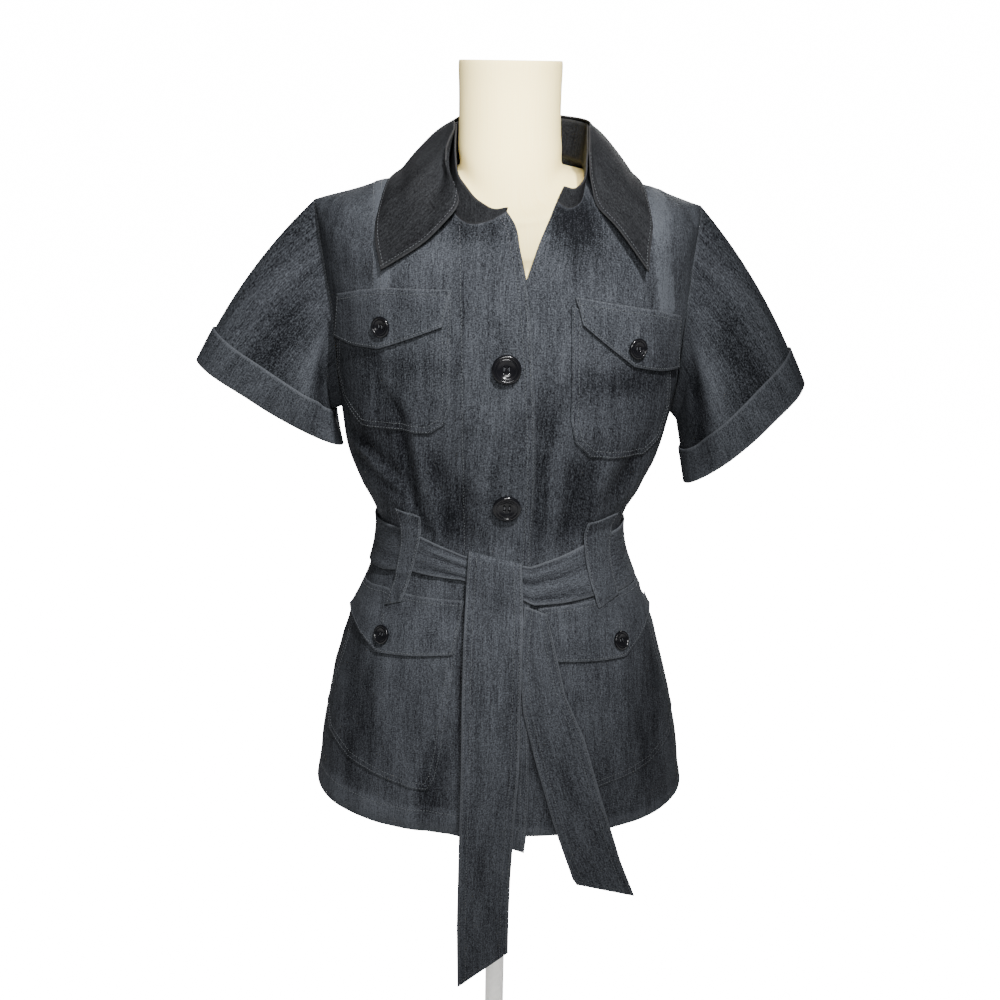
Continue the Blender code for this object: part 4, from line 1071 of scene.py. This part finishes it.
def hanging_end(name, rows, carriers, cloth, split, across, turned=False):
    """A strip of belt that hangs over the pieces behind it and then free; turned rolls its top over."""
    size = table(rows, END_COLUMNS)
    places = np.linspace(0, 1, split + 1)
    left, right = (along(np.stack((size[f"{side}_x"], size["y"], size[f"{side}_z"]), -1) * MM, places)
                   for side in ("left", "right"))
    share = np.linspace(0, 1, across + 1)[None, :, None]
    strip = (left[:, None] * (1 - share) + right[:, None] * share)[::-1]
    strip = settle(strip, carriers, LAY_GAP, spread=6)
    if turned:
        strip = turned_over(strip)
    outer = strip + grid_normals(strip) * BELT_CLOTH
    item = wall(name, outer, strip, cloth)
    declare(item, outer)
    return outer


# The form under the jacket: how far it lies inside the cloth's outer face at each height.
FORM_INSET = (
    (492, 16), (540, 14), (620, 12), (665, 10.5), (705, 9), (740, 8), (770, 8), (805, 8), (850, 7.5),
    (905, 7.5), (960, 7.5), (1020, 9), (1060, 12), (1078, 14), (1095, 14), (1108, 11), (1120, 8), (1150, 5),
    (1175, 4), (1195, 4),
)
NECK_RING_COLUMNS = ("half_width", "shift", "front", "back", "side_z", "front_z", "back_z")
NECK_RINGS = (
    (52, 4, 79, 49, 1121, 1092, 1131),
    (50, 2, 64, 49.5, 1142, 1118, 1150),
    (49, 1.5, 54, 49, 1165, 1150, 1168),
    (49, 1.5, 50, 49, 1192, 1190, 1192),
    (49.5, 1.5, 50, 49.5, 1217, 1217, 1217),
    (47.5, 1.5, 48, 47.5, 1220, 1220, 1220),
)
FORM_SIDES = 160
FORM_ROWS_BETWEEN = 5


def form(fabric):
    """The dress form, with smooth rings from the hips to the top of the neck."""
    turns = np.arange(FORM_SIDES) * 2 * math.pi / FORM_SIDES
    rings = []
    for height, inset in FORM_INSET:
        heights = np.full(turns.shape, float(height))
        rings.append(ring_point(turns, heights) - ring_normal(turns, heights) * inset * MM)
    for row in NECK_RINGS:
        size = dict(zip(NECK_RING_COLUMNS, row))
        sine, cosine = np.sin(turns), np.cos(turns)
        depth = np.where(cosine > 0, size["front"], size["back"])
        centre_z = np.where(cosine > 0, size["front_z"], size["back_z"])
        rings.append(np.stack((size["shift"] + size["half_width"] * sine, -depth * cosine,
                               size["side_z"] + (centre_z - size["side_z"]) * cosine ** 2), -1) * MM)
    rings[0][:, 2] = rings[0][0, 2]
    fine = smooth_rows(np.array(rings), FORM_ROWS_BETWEEN)
    rows, columns = fine.shape[:2]
    faces = grid_faces(rows, columns, True)
    faces.append(list(range(columns))[::-1])
    faces.append([(rows - 1) * columns + column for column in range(columns)])
    uv = cloth_lengths(fine).reshape(-1, 2)
    item = add_mesh("dress_form", fine.reshape(-1, 3), faces, fabric, uv)
    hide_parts("form_torso")


# Pockets, flaps and loops as two lines of (x, z): the upper one and the one it reaches down to.
CHEST_POCKET_RIGHT = (((-158, 1004), (-154, 1004), (-138, 1006), (-70, 1009), (-56, 1010), (-50, 1010)),
                      ((-164, 928), (-157, 900), (-138, 880), (-70, 884), (-55, 895), (-50, 912)))
CHEST_POCKET_LEFT = (((61, 1006), (66, 1005), (84, 1002), (138, 992), (152, 988), (160, 986)),
                     ((63, 900), (68, 878), (84, 860), (138, 853), (154, 866), (162, 900)))
HIP_POCKET_RIGHT = (((-152, 676), (-149, 676), (-138, 676), (-72, 675), (-50, 674), (-42, 674)),
                    ((-186, 556), (-182, 535), (-160, 520), (-73, 507), (-64, 522), (-57, 556)))
HIP_POCKET_LEFT = (((42, 674), (50, 674), (72, 675), (138, 676), (149, 676), (152, 676)),
                   ((57, 556), (64, 522), (78, 507), (162, 520), (184, 535), (187, 556)))

CHEST_FLAP_RIGHT = (((-159, 1006), (-137, 1013), (-112, 1018), (-49, 1020)),
                    ((-162, 964), (-142, 961), (-116, 962), (-57, 987)))
CHEST_FLAP_LEFT = (((64, 1015), (118, 1004), (144, 998), (168, 989)),
                   ((71, 990), (120, 949), (146, 941), (168, 937)))
HIP_FLAP_RIGHT = (((-143, 697), (-134, 700), (-120, 705), (-36, 709)),
                  ((-157, 665), (-142, 653), (-125, 643), (-46, 656)))
HIP_FLAP_LEFT = (((37, 702), (118, 703), (133, 701), (143, 698)),
                 ((56, 650), (127, 642), (142, 653), (157, 667)))

LOOP_RIGHT = (((-105, 797), (-81, 791)), ((-116, 690), (-99, 698)))
LOOP_LEFT = (((85, 787), (116, 790)), ((98, 694), (118, 702)))
LOOP_OUT = 2.5 * MM
FLAP_OUT = 0.9 * MM
FLAP_FLARE = 3.0 * MM


# A button from its underside's middle to the middle of its face: shares of the radius and the height.
BUTTON_OUTLINE = (
    (0.0, 0.0), (0.86, 0.0), (0.95, 0.08), (1.0, 0.30), (1.0, 0.62), (0.97, 0.84), (0.90, 0.98), (0.83, 1.0),
    (0.78, 0.92), (0.75, 0.78), (0.73, 0.74), (0.70, 0.82), (0.65, 0.86), (0.60, 0.80), (0.52, 0.62),
    (0.40, 0.50), (0.22, 0.45), (0.0, 0.44),
)
BUTTON_SIDES = 72
# Radius and height of a button.
SMALL_BUTTON = (9.8 * MM, 3.6 * MM)
LARGE_BUTTON = (13.75 * MM, 4.6 * MM)
BUTTON_GAP = 0.3 * MM
# How far from its middle the cloth is felt for a button: millimetres, and shares of the radius.
FELT_ASIDE = 8
FELT_SHARES = (0.35, 0.65, 0.9)
FELT_EVERY = 6
# A button's holes as shares of its radius; the drill and the thread's level as shares of its height.
HOLE_REACH = 0.17
HOLE_RADIUS = 0.075
DRILL_DEPTH = 1.6
DRILL_SIDES = 20
THREAD_LEVEL = 0.46
THREAD_RADIUS = 0.16 * MM
BEFORE_BODY = -0.5


def drop(x, z, carriers):
    """The spot where a point before the body meets the nearest piece behind it, in metres."""
    start, back = Vector((x, BEFORE_BODY, z)), Vector((0, 1, 0))
    hits = [tree.ray_cast(start, back, 1.0) for tree in carriers]
    return min((hit for hit in hits if hit[0] is not None), key=lambda hit: hit[3])[0]


def button(name, x, z, size, carriers, gloss, thread):
    """A glossy dished button with a double rim, four holes and its thread, on the cloth."""
    radius, height = size
    asides = ((0, 0), (-FELT_ASIDE, 0), (FELT_ASIDE, 0), (0, -FELT_ASIDE), (0, FELT_ASIDE))
    found = np.array([drop((x + right) * MM, (z + up) * MM, carriers) for right, up in asides])
    facing = unit(np.cross(found[2] - found[1], found[4] - found[3]))
    right = unit(np.cross((0, 0, 1), -facing))
    up = np.cross(facing, right)
    turns = np.arange(BUTTON_SIDES) * 2 * math.pi / BUTTON_SIDES
    circle = np.cos(turns)[:, None] * right + np.sin(turns)[:, None] * up
    lift = 0.0
    for share in FELT_SHARES:
        for direction in circle[::FELT_EVERY]:
            over = height_over(found[0] + direction * radius * share, facing, carriers)
            if over is not None:
                lift = max(lift, -over)
    base = found[0] + facing * (lift + BUTTON_GAP)
    rings = [base + circle * radius * share + facing * height * level for share, level in BUTTON_OUTLINE]
    points = np.concatenate((rings[0][:1], *rings[1:-1], rings[-1][:1]))
    last_ring = 1 + (len(rings) - 3) * BUTTON_SIDES
    sides = [(step, (step + 1) % BUTTON_SIDES) for step in range(BUTTON_SIDES)]
    faces = [(0, 1 + after, 1 + step) for step, after in sides]
    faces += grid_faces(len(rings) - 2, BUTTON_SIDES, True, start=1)
    faces += [(last_ring + step, last_ring + after, len(points) - 1) for step, after in sides]
    item = add_mesh(f"{name}_moulded", points, faces, gloss)
    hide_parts(name)
    reach = radius * HOLE_REACH
    holes = [base + right * a * reach + up * b * reach for a in (-1, 1) for b in (-1, 1)]
    drill_holes(item, holes, facing, radius * HOLE_RADIUS, height)
    strands = []
    for side in (-1, 1):
        middle = base + right * side * reach + facing * height * THREAD_LEVEL
        for aside in (-right * THREAD_RADIUS, right * THREAD_RADIUS):
            strands.append((middle - up * reach + aside, middle + up * reach + aside, facing, THREAD_RADIUS))
    beads(f"{name}_thread", strands, thread)


def drill_holes(item, holes, facing, radius, height):
    """Cuts a button's holes right through it."""
    work = bmesh.new()
    turn = Vector((0, 0, 1)).rotation_difference(Vector(facing)).to_matrix().to_4x4()
    for hole in holes:
        place = Matrix.Translation(Vector(hole) + Vector(facing) * height / 2) @ turn
        bmesh.ops.create_cone(work, cap_ends=True, segments=DRILL_SIDES, radius1=radius, radius2=radius,
                              depth=height * DRILL_DEPTH, matrix=place)
    mesh = bpy.data.meshes.new("drill")
    work.to_mesh(mesh)
    work.free()
    tool = new_object("drill", mesh)
    cut = item.modifiers.new("holes", "BOOLEAN")
    cut.operation = "DIFFERENCE"
    cut.solver = "EXACT"
    cut.object = tool
    bpy.context.view_layer.update()
    cut_mesh = bpy.data.meshes.new_from_object(item.evaluated_get(bpy.context.evaluated_depsgraph_get()))
    item.modifiers.clear()
    item.data = cut_mesh
    bpy.data.objects.remove(tool)


# Where a stitch's thread is thickest, as shares of its length, and how round it is there.
BEAD_SHARES = (0.22, 0.78)
BEAD_LIFT = 0.5
BEAD_TOP = 0.8


def beads(name, strands, material):
    """Short straight threads with rounded ends: each strand is (start, end, up, radius)."""
    points, faces = [], []
    for start, end, up, radius in strands:
        run = end - start
        side = unit(np.cross(up, unit(run)))
        first = len(points)
        points.append(start)
        for share in BEAD_SHARES:
            centre = start + run * share + up * radius * BEAD_LIFT
            points.extend((centre + side * radius, centre + up * radius * BEAD_TOP, centre - side * radius,
                           centre - up * radius))
        points.append(end)
        for step in range(4):
            after = (step + 1) % 4
            faces.append((first, first + 1 + after, first + 1 + step))
            faces.append((first + 1 + step, first + 1 + after, first + 5 + after, first + 5 + step))
            faces.append((first + 9, first + 5 + step, first + 5 + after))
    add_mesh(name, points, faces, material)


STITCH_LENGTH = 2.5 * MM
STITCH_GAP = 0.8 * MM
STITCH_RADIUS = 0.26 * MM
STITCH_LIFT = 0.05 * MM
# Where a line of stitches comes nearer its piece's side than this share of its distance, it is left out.
NEAREST_SHARE = 0.93
LINE_STEPS = 60


def sew(tree, line):
    """The stitches along a line of points near a piece's outer face."""
    steps = np.linalg.norm(np.diff(line, axis=0), axis=1)
    reached = np.concatenate(([0], np.cumsum(steps)))
    strands = []
    for start in np.arange(0, steps.sum() - STITCH_LENGTH, STITCH_LENGTH + STITCH_GAP):
        places = (start, start + STITCH_LENGTH)
        ends = np.stack([np.interp(places, reached, column) for column in line.T], -1)
        low, high = (tree.find_nearest(Vector(end)) for end in ends)
        up = np.array((low[1] + high[1]).normalized())
        lift = up * STITCH_LIFT
        strands.append((np.array(low[0]) + lift, np.array(high[0]) + lift, up, STITCH_RADIUS))
    return strands


def beside(outer, which, distance):
    """A line at a distance (millimetres) from one side of a piece."""
    line, within = {
        "bottom": (outer[0], outer[1]),
        "top": (outer[-1], outer[-2]),
        "left": (outer[:, 0], outer[:, 1]),
        "right": (outer[:, -1], outer[:, -2]),
    }[which]
    tangent = unit(np.gradient(line, axis=0))
    within = within - line
    within = unit(within - tangent * np.sum(within * tangent, axis=-1, keepdims=True))
    shifted = line + within * distance * MM
    gaps = np.linalg.norm(shifted[:, None] - line[None], axis=-1).min(axis=1)
    return shifted[gaps > NEAREST_SHARE * distance * MM]


def stitched(name, outer, sides, thread, extra=()):
    """Sews lines beside a piece's sides, each a side and a distance, and any others that are given."""
    tree = tree_of(outer)
    lines = [beside(outer, *side) for side in sides] + list(extra)
    beads(f"stitches_{name}", [strand for line in lines for strand in sew(tree, line)], thread)


def on_front(points):
    """A line of (x, z) in millimetres, taken onto the jacket's front."""
    fine = smooth_along(points, np.linspace(0, 1, LINE_STEPS))
    spots = on_body(fine[:, 0], fine[:, 1])
    return body_points(spots[:, 0], spots[:, 1], FRONT_FOLDS)[0]


def connect(tree, node, inputs):
    """Sets a node's inputs, each to a number, a colour or what another node gives."""
    for name, value in inputs.items():
        socket = node.inputs[name]
        if isinstance(value, bpy.types.NodeSocket):
            tree.links.new(value, socket)
        elif isinstance(value, tuple) and len(value) < len(socket.default_value):
            socket.default_value = (*value, 1)
        else:
            socket.default_value = value


def add_node(tree, kind, inputs, output=0, **settings):
    """Adds a node with its settings and inputs, and returns one of its outputs."""
    node = tree.nodes.new(f"ShaderNode{kind}")
    for name, value in settings.items():
        setattr(node, name, value)
    connect(tree, node, inputs)
    return node.outputs[output]


def new_material(name, slot=None):
    """A node material with its shader; slot is the record's finish that it stands for."""
    material = bpy.data.materials.new(name)
    material["slot"] = slot or name
    material.use_nodes = True
    return material, material.node_tree, material.node_tree.nodes["Principled BSDF"]


def noise(tree, vector, scale, detail, roughness=0.5):
    """A noise texture read at a vector."""
    inputs = {"Vector": vector, "Scale": scale, "Detail": detail, "Roughness": roughness}
    return add_node(tree, "TexNoise", inputs, "Fac")


def cloth_place(tree):
    """Each point's place on the flat cloth, in metres."""
    return add_node(tree, "UVMap", {}, "UV", uv_map="cloth")


def cloth_noise(tree, across, upward, detail, roughness):
    """Noise over the flat cloth, with so many grains to the metre across it and up it."""
    inputs = {"Vector": cloth_place(tree), "Scale": (across, upward, 1)}
    return noise(tree, add_node(tree, "Mapping", inputs, "Vector"), 1.0, detail, roughness)


def ramp(tree, value, stops):
    """Turns a value into a colour through stops of (place, colour)."""
    node = tree.nodes.new("ShaderNodeValToRGB")
    elements = node.color_ramp.elements
    while len(elements) < len(stops):
        elements.new(0.5)
    for element, (place, colour) in zip(elements, stops):
        element.position = place
        element.color = (*colour, 1)
    connect(tree, node, {"Fac": value})
    return node.outputs["Color"]


def maths(tree, operation, first, second):
    """One sum of two values, each a number or what another node gives."""
    return add_node(tree, "Math", {0: first, 1: second}, operation=operation)


def weighted(tree, parts):
    """The sum of several values, each with its weight."""
    products = [maths(tree, "MULTIPLY", value, weight) for value, weight in parts]
    total = products[0]
    for product in products[1:]:
        total = maths(tree, "ADD", total, product)
    return total


def bump(tree, height, strength, distance):
    """The cloth's relief, as a direction for the shader."""
    inputs = {"Height": height, "Strength": strength, "Distance": distance}
    return add_node(tree, "Bump", inputs, "Normal")


def denim(name, dark, light, rim):
    """Dark slubby denim: streaks along the cloth, a salt-and-pepper twill, lighter rubbed rims, and the
    per-point tone with painted shade.
    """
    material, tree, shader = new_material(name)
    slub = cloth_noise(tree, 430, 20, 3.0, 0.65)
    thin = cloth_noise(tree, 900, 160, 2.0, 0.6)
    pepper = cloth_noise(tree, 700, 620, 2.0, 0.8)
    patchy = cloth_noise(tree, 45, 12, 4.0, 0.6)
    wear_and_shade, edge = (add_node(tree, "Attribute", {}, "Fac", attribute_name=title) for title in ("wear_and_shade", "edge"))
    # The per-point tone lightens abraded ridges and bands and darkens fold valleys, the places under the
    # collar, flaps and arms, and the sleeves with painted shade.
    value = weighted(tree, ((slub, 0.16), (thin, 0.22), (pepper, 0.46), (patchy, 0.16), (wear_and_shade, 0.05)))
    middle = tuple(a * 0.6 + b * 0.4 for a, b in zip(dark, light))
    colour = ramp(tree, value, ((0.40, dark), (0.49, middle), (0.60, light)))
    tone_shift = maths(tree, "MULTIPLY", edge, 0.5)
    colour = add_node(tree, "Mix", {0: tone_shift, 6: colour, 7: rim}, 2, data_type="RGBA")
    inputs = {"Vector": cloth_place(tree), "Scale": 260, "Distortion": 1.5}
    wave = add_node(tree, "TexWave", inputs, "Fac", wave_type="BANDS", bands_direction="DIAGONAL")
    relief = maths(tree, "ADD", maths(tree, "MULTIPLY", wave, 0.3), maths(tree, "ADD", slub, pepper))
    normal = bump(tree, relief, 0.3, 0.00025)
    connect(tree, shader, {"Base Color": colour, "Roughness": 0.88, "Specular IOR Level": 0.06,
                           "Normal": normal})
    return material


def linen(name):
    """Cream linen with fine upright slubs."""
    material, tree, shader = new_material(name)
    slub = cloth_noise(tree, 500, 18, 3.0, 0.6)
    weave = cloth_noise(tree, 1300, 1300, 1.0, 0.5)
    value = weighted(tree, ((slub, 0.6), (weave, 0.4)))
    colour = ramp(tree, value, ((0.35, (0.96, 0.76, 0.31)), (0.65, (1.0, 0.85, 0.41))))
    normal = bump(tree, value, 0.25, 0.0003)
    connect(tree, shader, {"Base Color": colour, "Roughness": 0.92, "Normal": normal})
    return material


def thread_material(name, colour):
    """Matt sewing thread."""
    material, tree, shader = new_material(name, "denim")
    connect(tree, shader, {"Base Color": colour, "Roughness": 0.7})
    return material


def gloss_plastic(name):
    """Black polished plastic with faint unevenness."""
    material, tree, shader = new_material(name)
    uneven = noise(tree, add_node(tree, "TexCoord", {}, "Object"), 300, 2.0)
    rough = add_node(tree, "MapRange", {"Value": uneven, "To Min": 0.12, "To Max": 0.22}, "Result")
    connect(tree, shader, {"Base Color": (0.003, 0.003, 0.004), "Specular IOR Level": 0.35,
                           "Roughness": rough})
    return material


def painted_metal(name):
    """Pale satin paint."""
    material, tree, shader = new_material(name)
    speckle = noise(tree, add_node(tree, "TexCoord", {}, "Object"), 220, 3.0)
    colour = ramp(tree, speckle, ((0.3, (0.80, 0.79, 0.76)), (0.7, (0.88, 0.87, 0.84))))
    connect(tree, shader, {"Base Color": colour, "Roughness": 0.42})
    return material


CAMERA_PLACE = (-0.0022, -1.30, 1.22)
CAMERA_PITCH = 18.7
CAMERA_ROLL = 0.9
CAMERA_LENS = 46.8


def camera():
    """The photograph's view: a little above the jacket, looking down on it."""
    data = bpy.data.cameras.new("camera")
    data.lens = CAMERA_LENS
    data.sensor_width = 36
    item = new_object("camera", data)
    item.matrix_world = (Matrix.Translation(CAMERA_PLACE)
                         @ Matrix.Rotation(math.radians(90 - CAMERA_PITCH), 4, "X")
                         @ Matrix.Rotation(math.radians(CAMERA_ROLL), 4, "Z"))
    bpy.context.scene.camera = item


def light(name, kind, place, target, power, **settings):
    """A soft light that faces a target."""
    data = bpy.data.lights.new(name, kind)
    data.energy = power
    for title, value in settings.items():
        setattr(data, title, value)
    item = new_object(name, data)
    item.location = place
    item.rotation_euler = (Vector(target) - Vector(place)).to_track_quat("-Z", "Y").to_euler()


def spot_light(name, place, target, angle, radius, power):
    """A soft-edged round light that brightens what it points at more than what lies beside it."""
    light(name, "SPOT", place, target, power, spot_size=math.radians(angle), spot_blend=1.0,
          shadow_soft_size=radius)


def brightness_seen(tree, lighting, seen_by_camera):
    """A brightness that is low where it lights the jacket and high where it is looked at."""
    seen = add_node(tree, "LightPath", {}, "Is Camera Ray")
    inputs = {"Value": seen, "To Min": lighting, "To Max": seen_by_camera}
    return add_node(tree, "MapRange", inputs, "Result")


def stage():
    """A pale floor, a white surround and soft lights."""
    mesh = bpy.data.meshes.new("floor")
    mesh.from_pydata([(-6, -6, 0), (6, -6, 0), (6, 6, 0), (-6, 6, 0)], [], [(0, 1, 2, 3)])
    material, tree, shader = new_material("floor")
    connect(tree, shader, {"Base Color": (0.9, 0.9, 0.9), "Roughness": 0.9, "Emission Color": (1, 1, 1),
                           "Emission Strength": brightness_seen(tree, 0.08, 16.0)})
    mesh.materials.append(material)
    new_object("floor", mesh)
    world = bpy.data.worlds.new("surround")
    world.use_nodes = True
    tree = world.node_tree
    brightness = brightness_seen(tree, 0.12, 16.0)
    connect(tree, tree.nodes["Background"], {"Color": (1, 1, 1), "Strength": brightness})
    bpy.context.scene.world = world
    light("fill", "AREA", (-0.05, -1.85, 1.75), (0, 0, 0.80), 38, size=0.6)
    spot_light("neck_light", (0.10, -1.50, 1.55), (0.0, 0.0, 1.18), 9, 0.05, 260)
    spot_light("key", (0.42, -1.15, 2.35), (-0.05, -0.1, 0.93), 25, 0.06, 400)
    light("back_fill", "AREA", (0.4, 2.4, 2.0), (0, 0, 0.85), 120, size=1.4)


# A buttonhole's stitches: from and to how far above the button's middle, and how far aside.
SLIT_FROM, SLIT_TO, SLIT_ASIDE = 11, 21, 0.9


def buttonhole(spot, carriers):
    """Two short rows of stitches over a button, where it goes through the flap."""
    x, z = spot
    return [np.array([drop((x + side) * MM, (z + up) * MM, carriers) for up in (SLIT_FROM, SLIT_TO)])
            for side in (-SLIT_ASIDE, SLIT_ASIDE)]


# Pockets with their flaps and where the flap's button sits.
POCKETS = (
    ("chest", "right", CHEST_POCKET_RIGHT, CHEST_FLAP_RIGHT, (-115, 983)),
    ("chest", "left", CHEST_POCKET_LEFT, CHEST_FLAP_LEFT, (124, 966)),
    ("hip", "right", HIP_POCKET_RIGHT, HIP_FLAP_RIGHT, (-120, 663)),
    ("hip", "left", HIP_POCKET_LEFT, HIP_FLAP_LEFT, (123, 660)),
)
FRONT_BUTTONS = (("front_button_high", 2, 951), ("front_button_low", 4.5, 811))
# Lines of stitches beside a piece's sides, at a distance in millimetres.
POCKET_STITCHES = [(side, distance) for side in ("bottom", "left", "right") for distance in (1.8, 7.0)]
FLAP_STITCHES = (("bottom", 2.0), ("left", 2.0), ("right", 2.0), ("top", 5.0))
LOOP_STITCHES = (("left", 2.0), ("right", 2.0))
BELT_STITCHES = (("left", 2.0), ("right", 2.0), ("left", 8.0), ("right", 8.0), ("bottom", 4.0))
LEAF_STITCHES = (("bottom", 3.0), ("left", 3.0), ("right", 3.0))
OVER_STITCHES = (("right", 2.5), ("right", 8.0), ("bottom", 22.0), ("left", 2.0))
UNDER_STITCHES = (("right", 2.0), ("bottom", 22.0), ("left", 2.0))
BACK_STITCHES = (("bottom", 22.0), ("left", 2.0), ("right", 2.0))
PLACKET_STITCHES = ((-43, 1079), (-40, 1000), (-38, 900), (-37, 816), (-37, 700), (-38, 560), (-38, 470))
BAND_STITCHES = (-7.5, 0, 7.5)


def dress_pockets(fronts, cloth, gloss, thread):
    """Pockets, their flaps and the flaps' buttons; returns the flaps to lay other pieces on."""
    flaps = []
    for height, hand, pocket, flap, spot in POCKETS:
        name = f"{height}_pocket_{hand}"
        pocket_outer = patch(name, pocket, fronts, LAY_GAP, 0, cloth, POCKET_RUBBED)
        stitched(name, pocket_outer, POCKET_STITCHES, thread)
        name = f"{height}_flap_{hand}"
        carriers = fronts + [tree_of(pocket_outer)]
        flap_outer = patch(name, flap, carriers, FLAP_OUT, FLAP_FLARE, cloth, FLAP_RUBBED)
        flap_tree = tree_of(flap_outer)
        stitched(name, flap_outer, FLAP_STITCHES, thread, buttonhole(spot, [flap_tree]))
        button(f"{height}_button_{hand}", *spot, SMALL_BUTTON, [flap_tree], gloss, thread)
        flaps.append(flap_tree)
    return flaps


def dress():
    """Builds every piece of the jacket and the form."""
    blue = denim("denim", (0.0022, 0.0025, 0.0034), (0.058, 0.063, 0.072), (0.064, 0.068, 0.076))
    brown = denim("collar_denim", (0.0024, 0.0025, 0.0030), (0.021, 0.022, 0.024), (0.032, 0.032, 0.033))
    thread = thread_material("thread", (0.058, 0.062, 0.068))
    gloss = gloss_plastic("button_plastic")
    fabric = linen("linen")
    metal = painted_metal("stand_metal")

    over_grid = front_grid(-1, OVER_EDGE, OVER_NECKLINE)
    under_grid = front_grid(1, UNDER_EDGE, UNDER_NECKLINE)
    over = panel("front_right", over_grid, FRONT_FOLDS, -SEAM_GAP / 2, lap_lift, blue)
    under = panel("front_left", under_grid, FRONT_FOLDS, -SEAM_GAP / 2, no_lift, blue)
    back = panel("back", back_grid(), BACK_FOLDS, SEAM_GAP / 2, no_lift, blue)
    body = [tree_of(points[0]) for points in (over, under, back)]
    fronts = body[:2]
    for name, front, back_column in (("sleeve_right", over, -1), ("sleeve_left", under, 0)):
        front_side = [points[ARMHOLE_START:, 0] for points in front]
        back_side = [points[ARMHOLE_START:, back_column] for points in back]
        sleeve(name, armhole(front_side, back_side), blue)
    leaf = collar(neck_seam(over, back, under), body, brown)

    flaps = dress_pockets(fronts, blue, gloss, thread)
    for name, x, z in FRONT_BUTTONS:
        button(name, x, z, LARGE_BUTTON, fronts[:1], gloss, thread)

    carriers = fronts + flaps + [tree_of(waist_belt(body, blue), closed=True)]
    for name, lines in (("belt_loop_right", LOOP_RIGHT), ("belt_loop_left", LOOP_LEFT)):
        loop = patch(name, lines, carriers, LOOP_OUT, 0, blue, LOOP_RUBBED, strip=True)
        stitched(name, loop, LOOP_STITCHES, thread)
    short = hanging_end("belt_end_short", SHORT_END, carriers, blue, split=130, across=22)
    carriers.append(tree_of(short))
    long = hanging_end("belt_end_long", LONG_END, carriers, blue, split=190, across=24, turned=True)
    stitched("belt_end_short", short, BELT_STITCHES, thread)
    stitched("belt_end_long", long, BELT_STITCHES, thread)
    stitched("collar_leaf", leaf, LEAF_STITCHES, thread)
    right_band, left_band = ([on_front([(x + aside, z) for x, z in band[0]]) for aside in BAND_STITCHES]
                             for band in RAISED[:2])
    stitched("front_right", over[0], OVER_STITCHES, thread, [on_front(PLACKET_STITCHES)] + right_band)
    stitched("front_left", under[0], UNDER_STITCHES, thread, left_band)
    stitched("back", back[0], BACK_STITCHES, thread)
    form(fabric)
    for name in ("form_pole", "form_base"):
        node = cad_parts[name]
        node.data.materials.clear()
        node.data.materials.append(metal)


def corners(box):
    """A box's two corners as plain lists."""
    return [list(corner) for corner in box]


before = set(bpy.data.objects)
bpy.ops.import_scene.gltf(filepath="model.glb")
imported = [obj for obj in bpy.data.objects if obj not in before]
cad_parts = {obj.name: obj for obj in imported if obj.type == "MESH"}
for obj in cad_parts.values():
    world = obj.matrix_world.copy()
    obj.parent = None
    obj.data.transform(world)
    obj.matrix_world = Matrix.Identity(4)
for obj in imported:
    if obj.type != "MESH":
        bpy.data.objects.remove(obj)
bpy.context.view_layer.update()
camera()
stage()
dress()
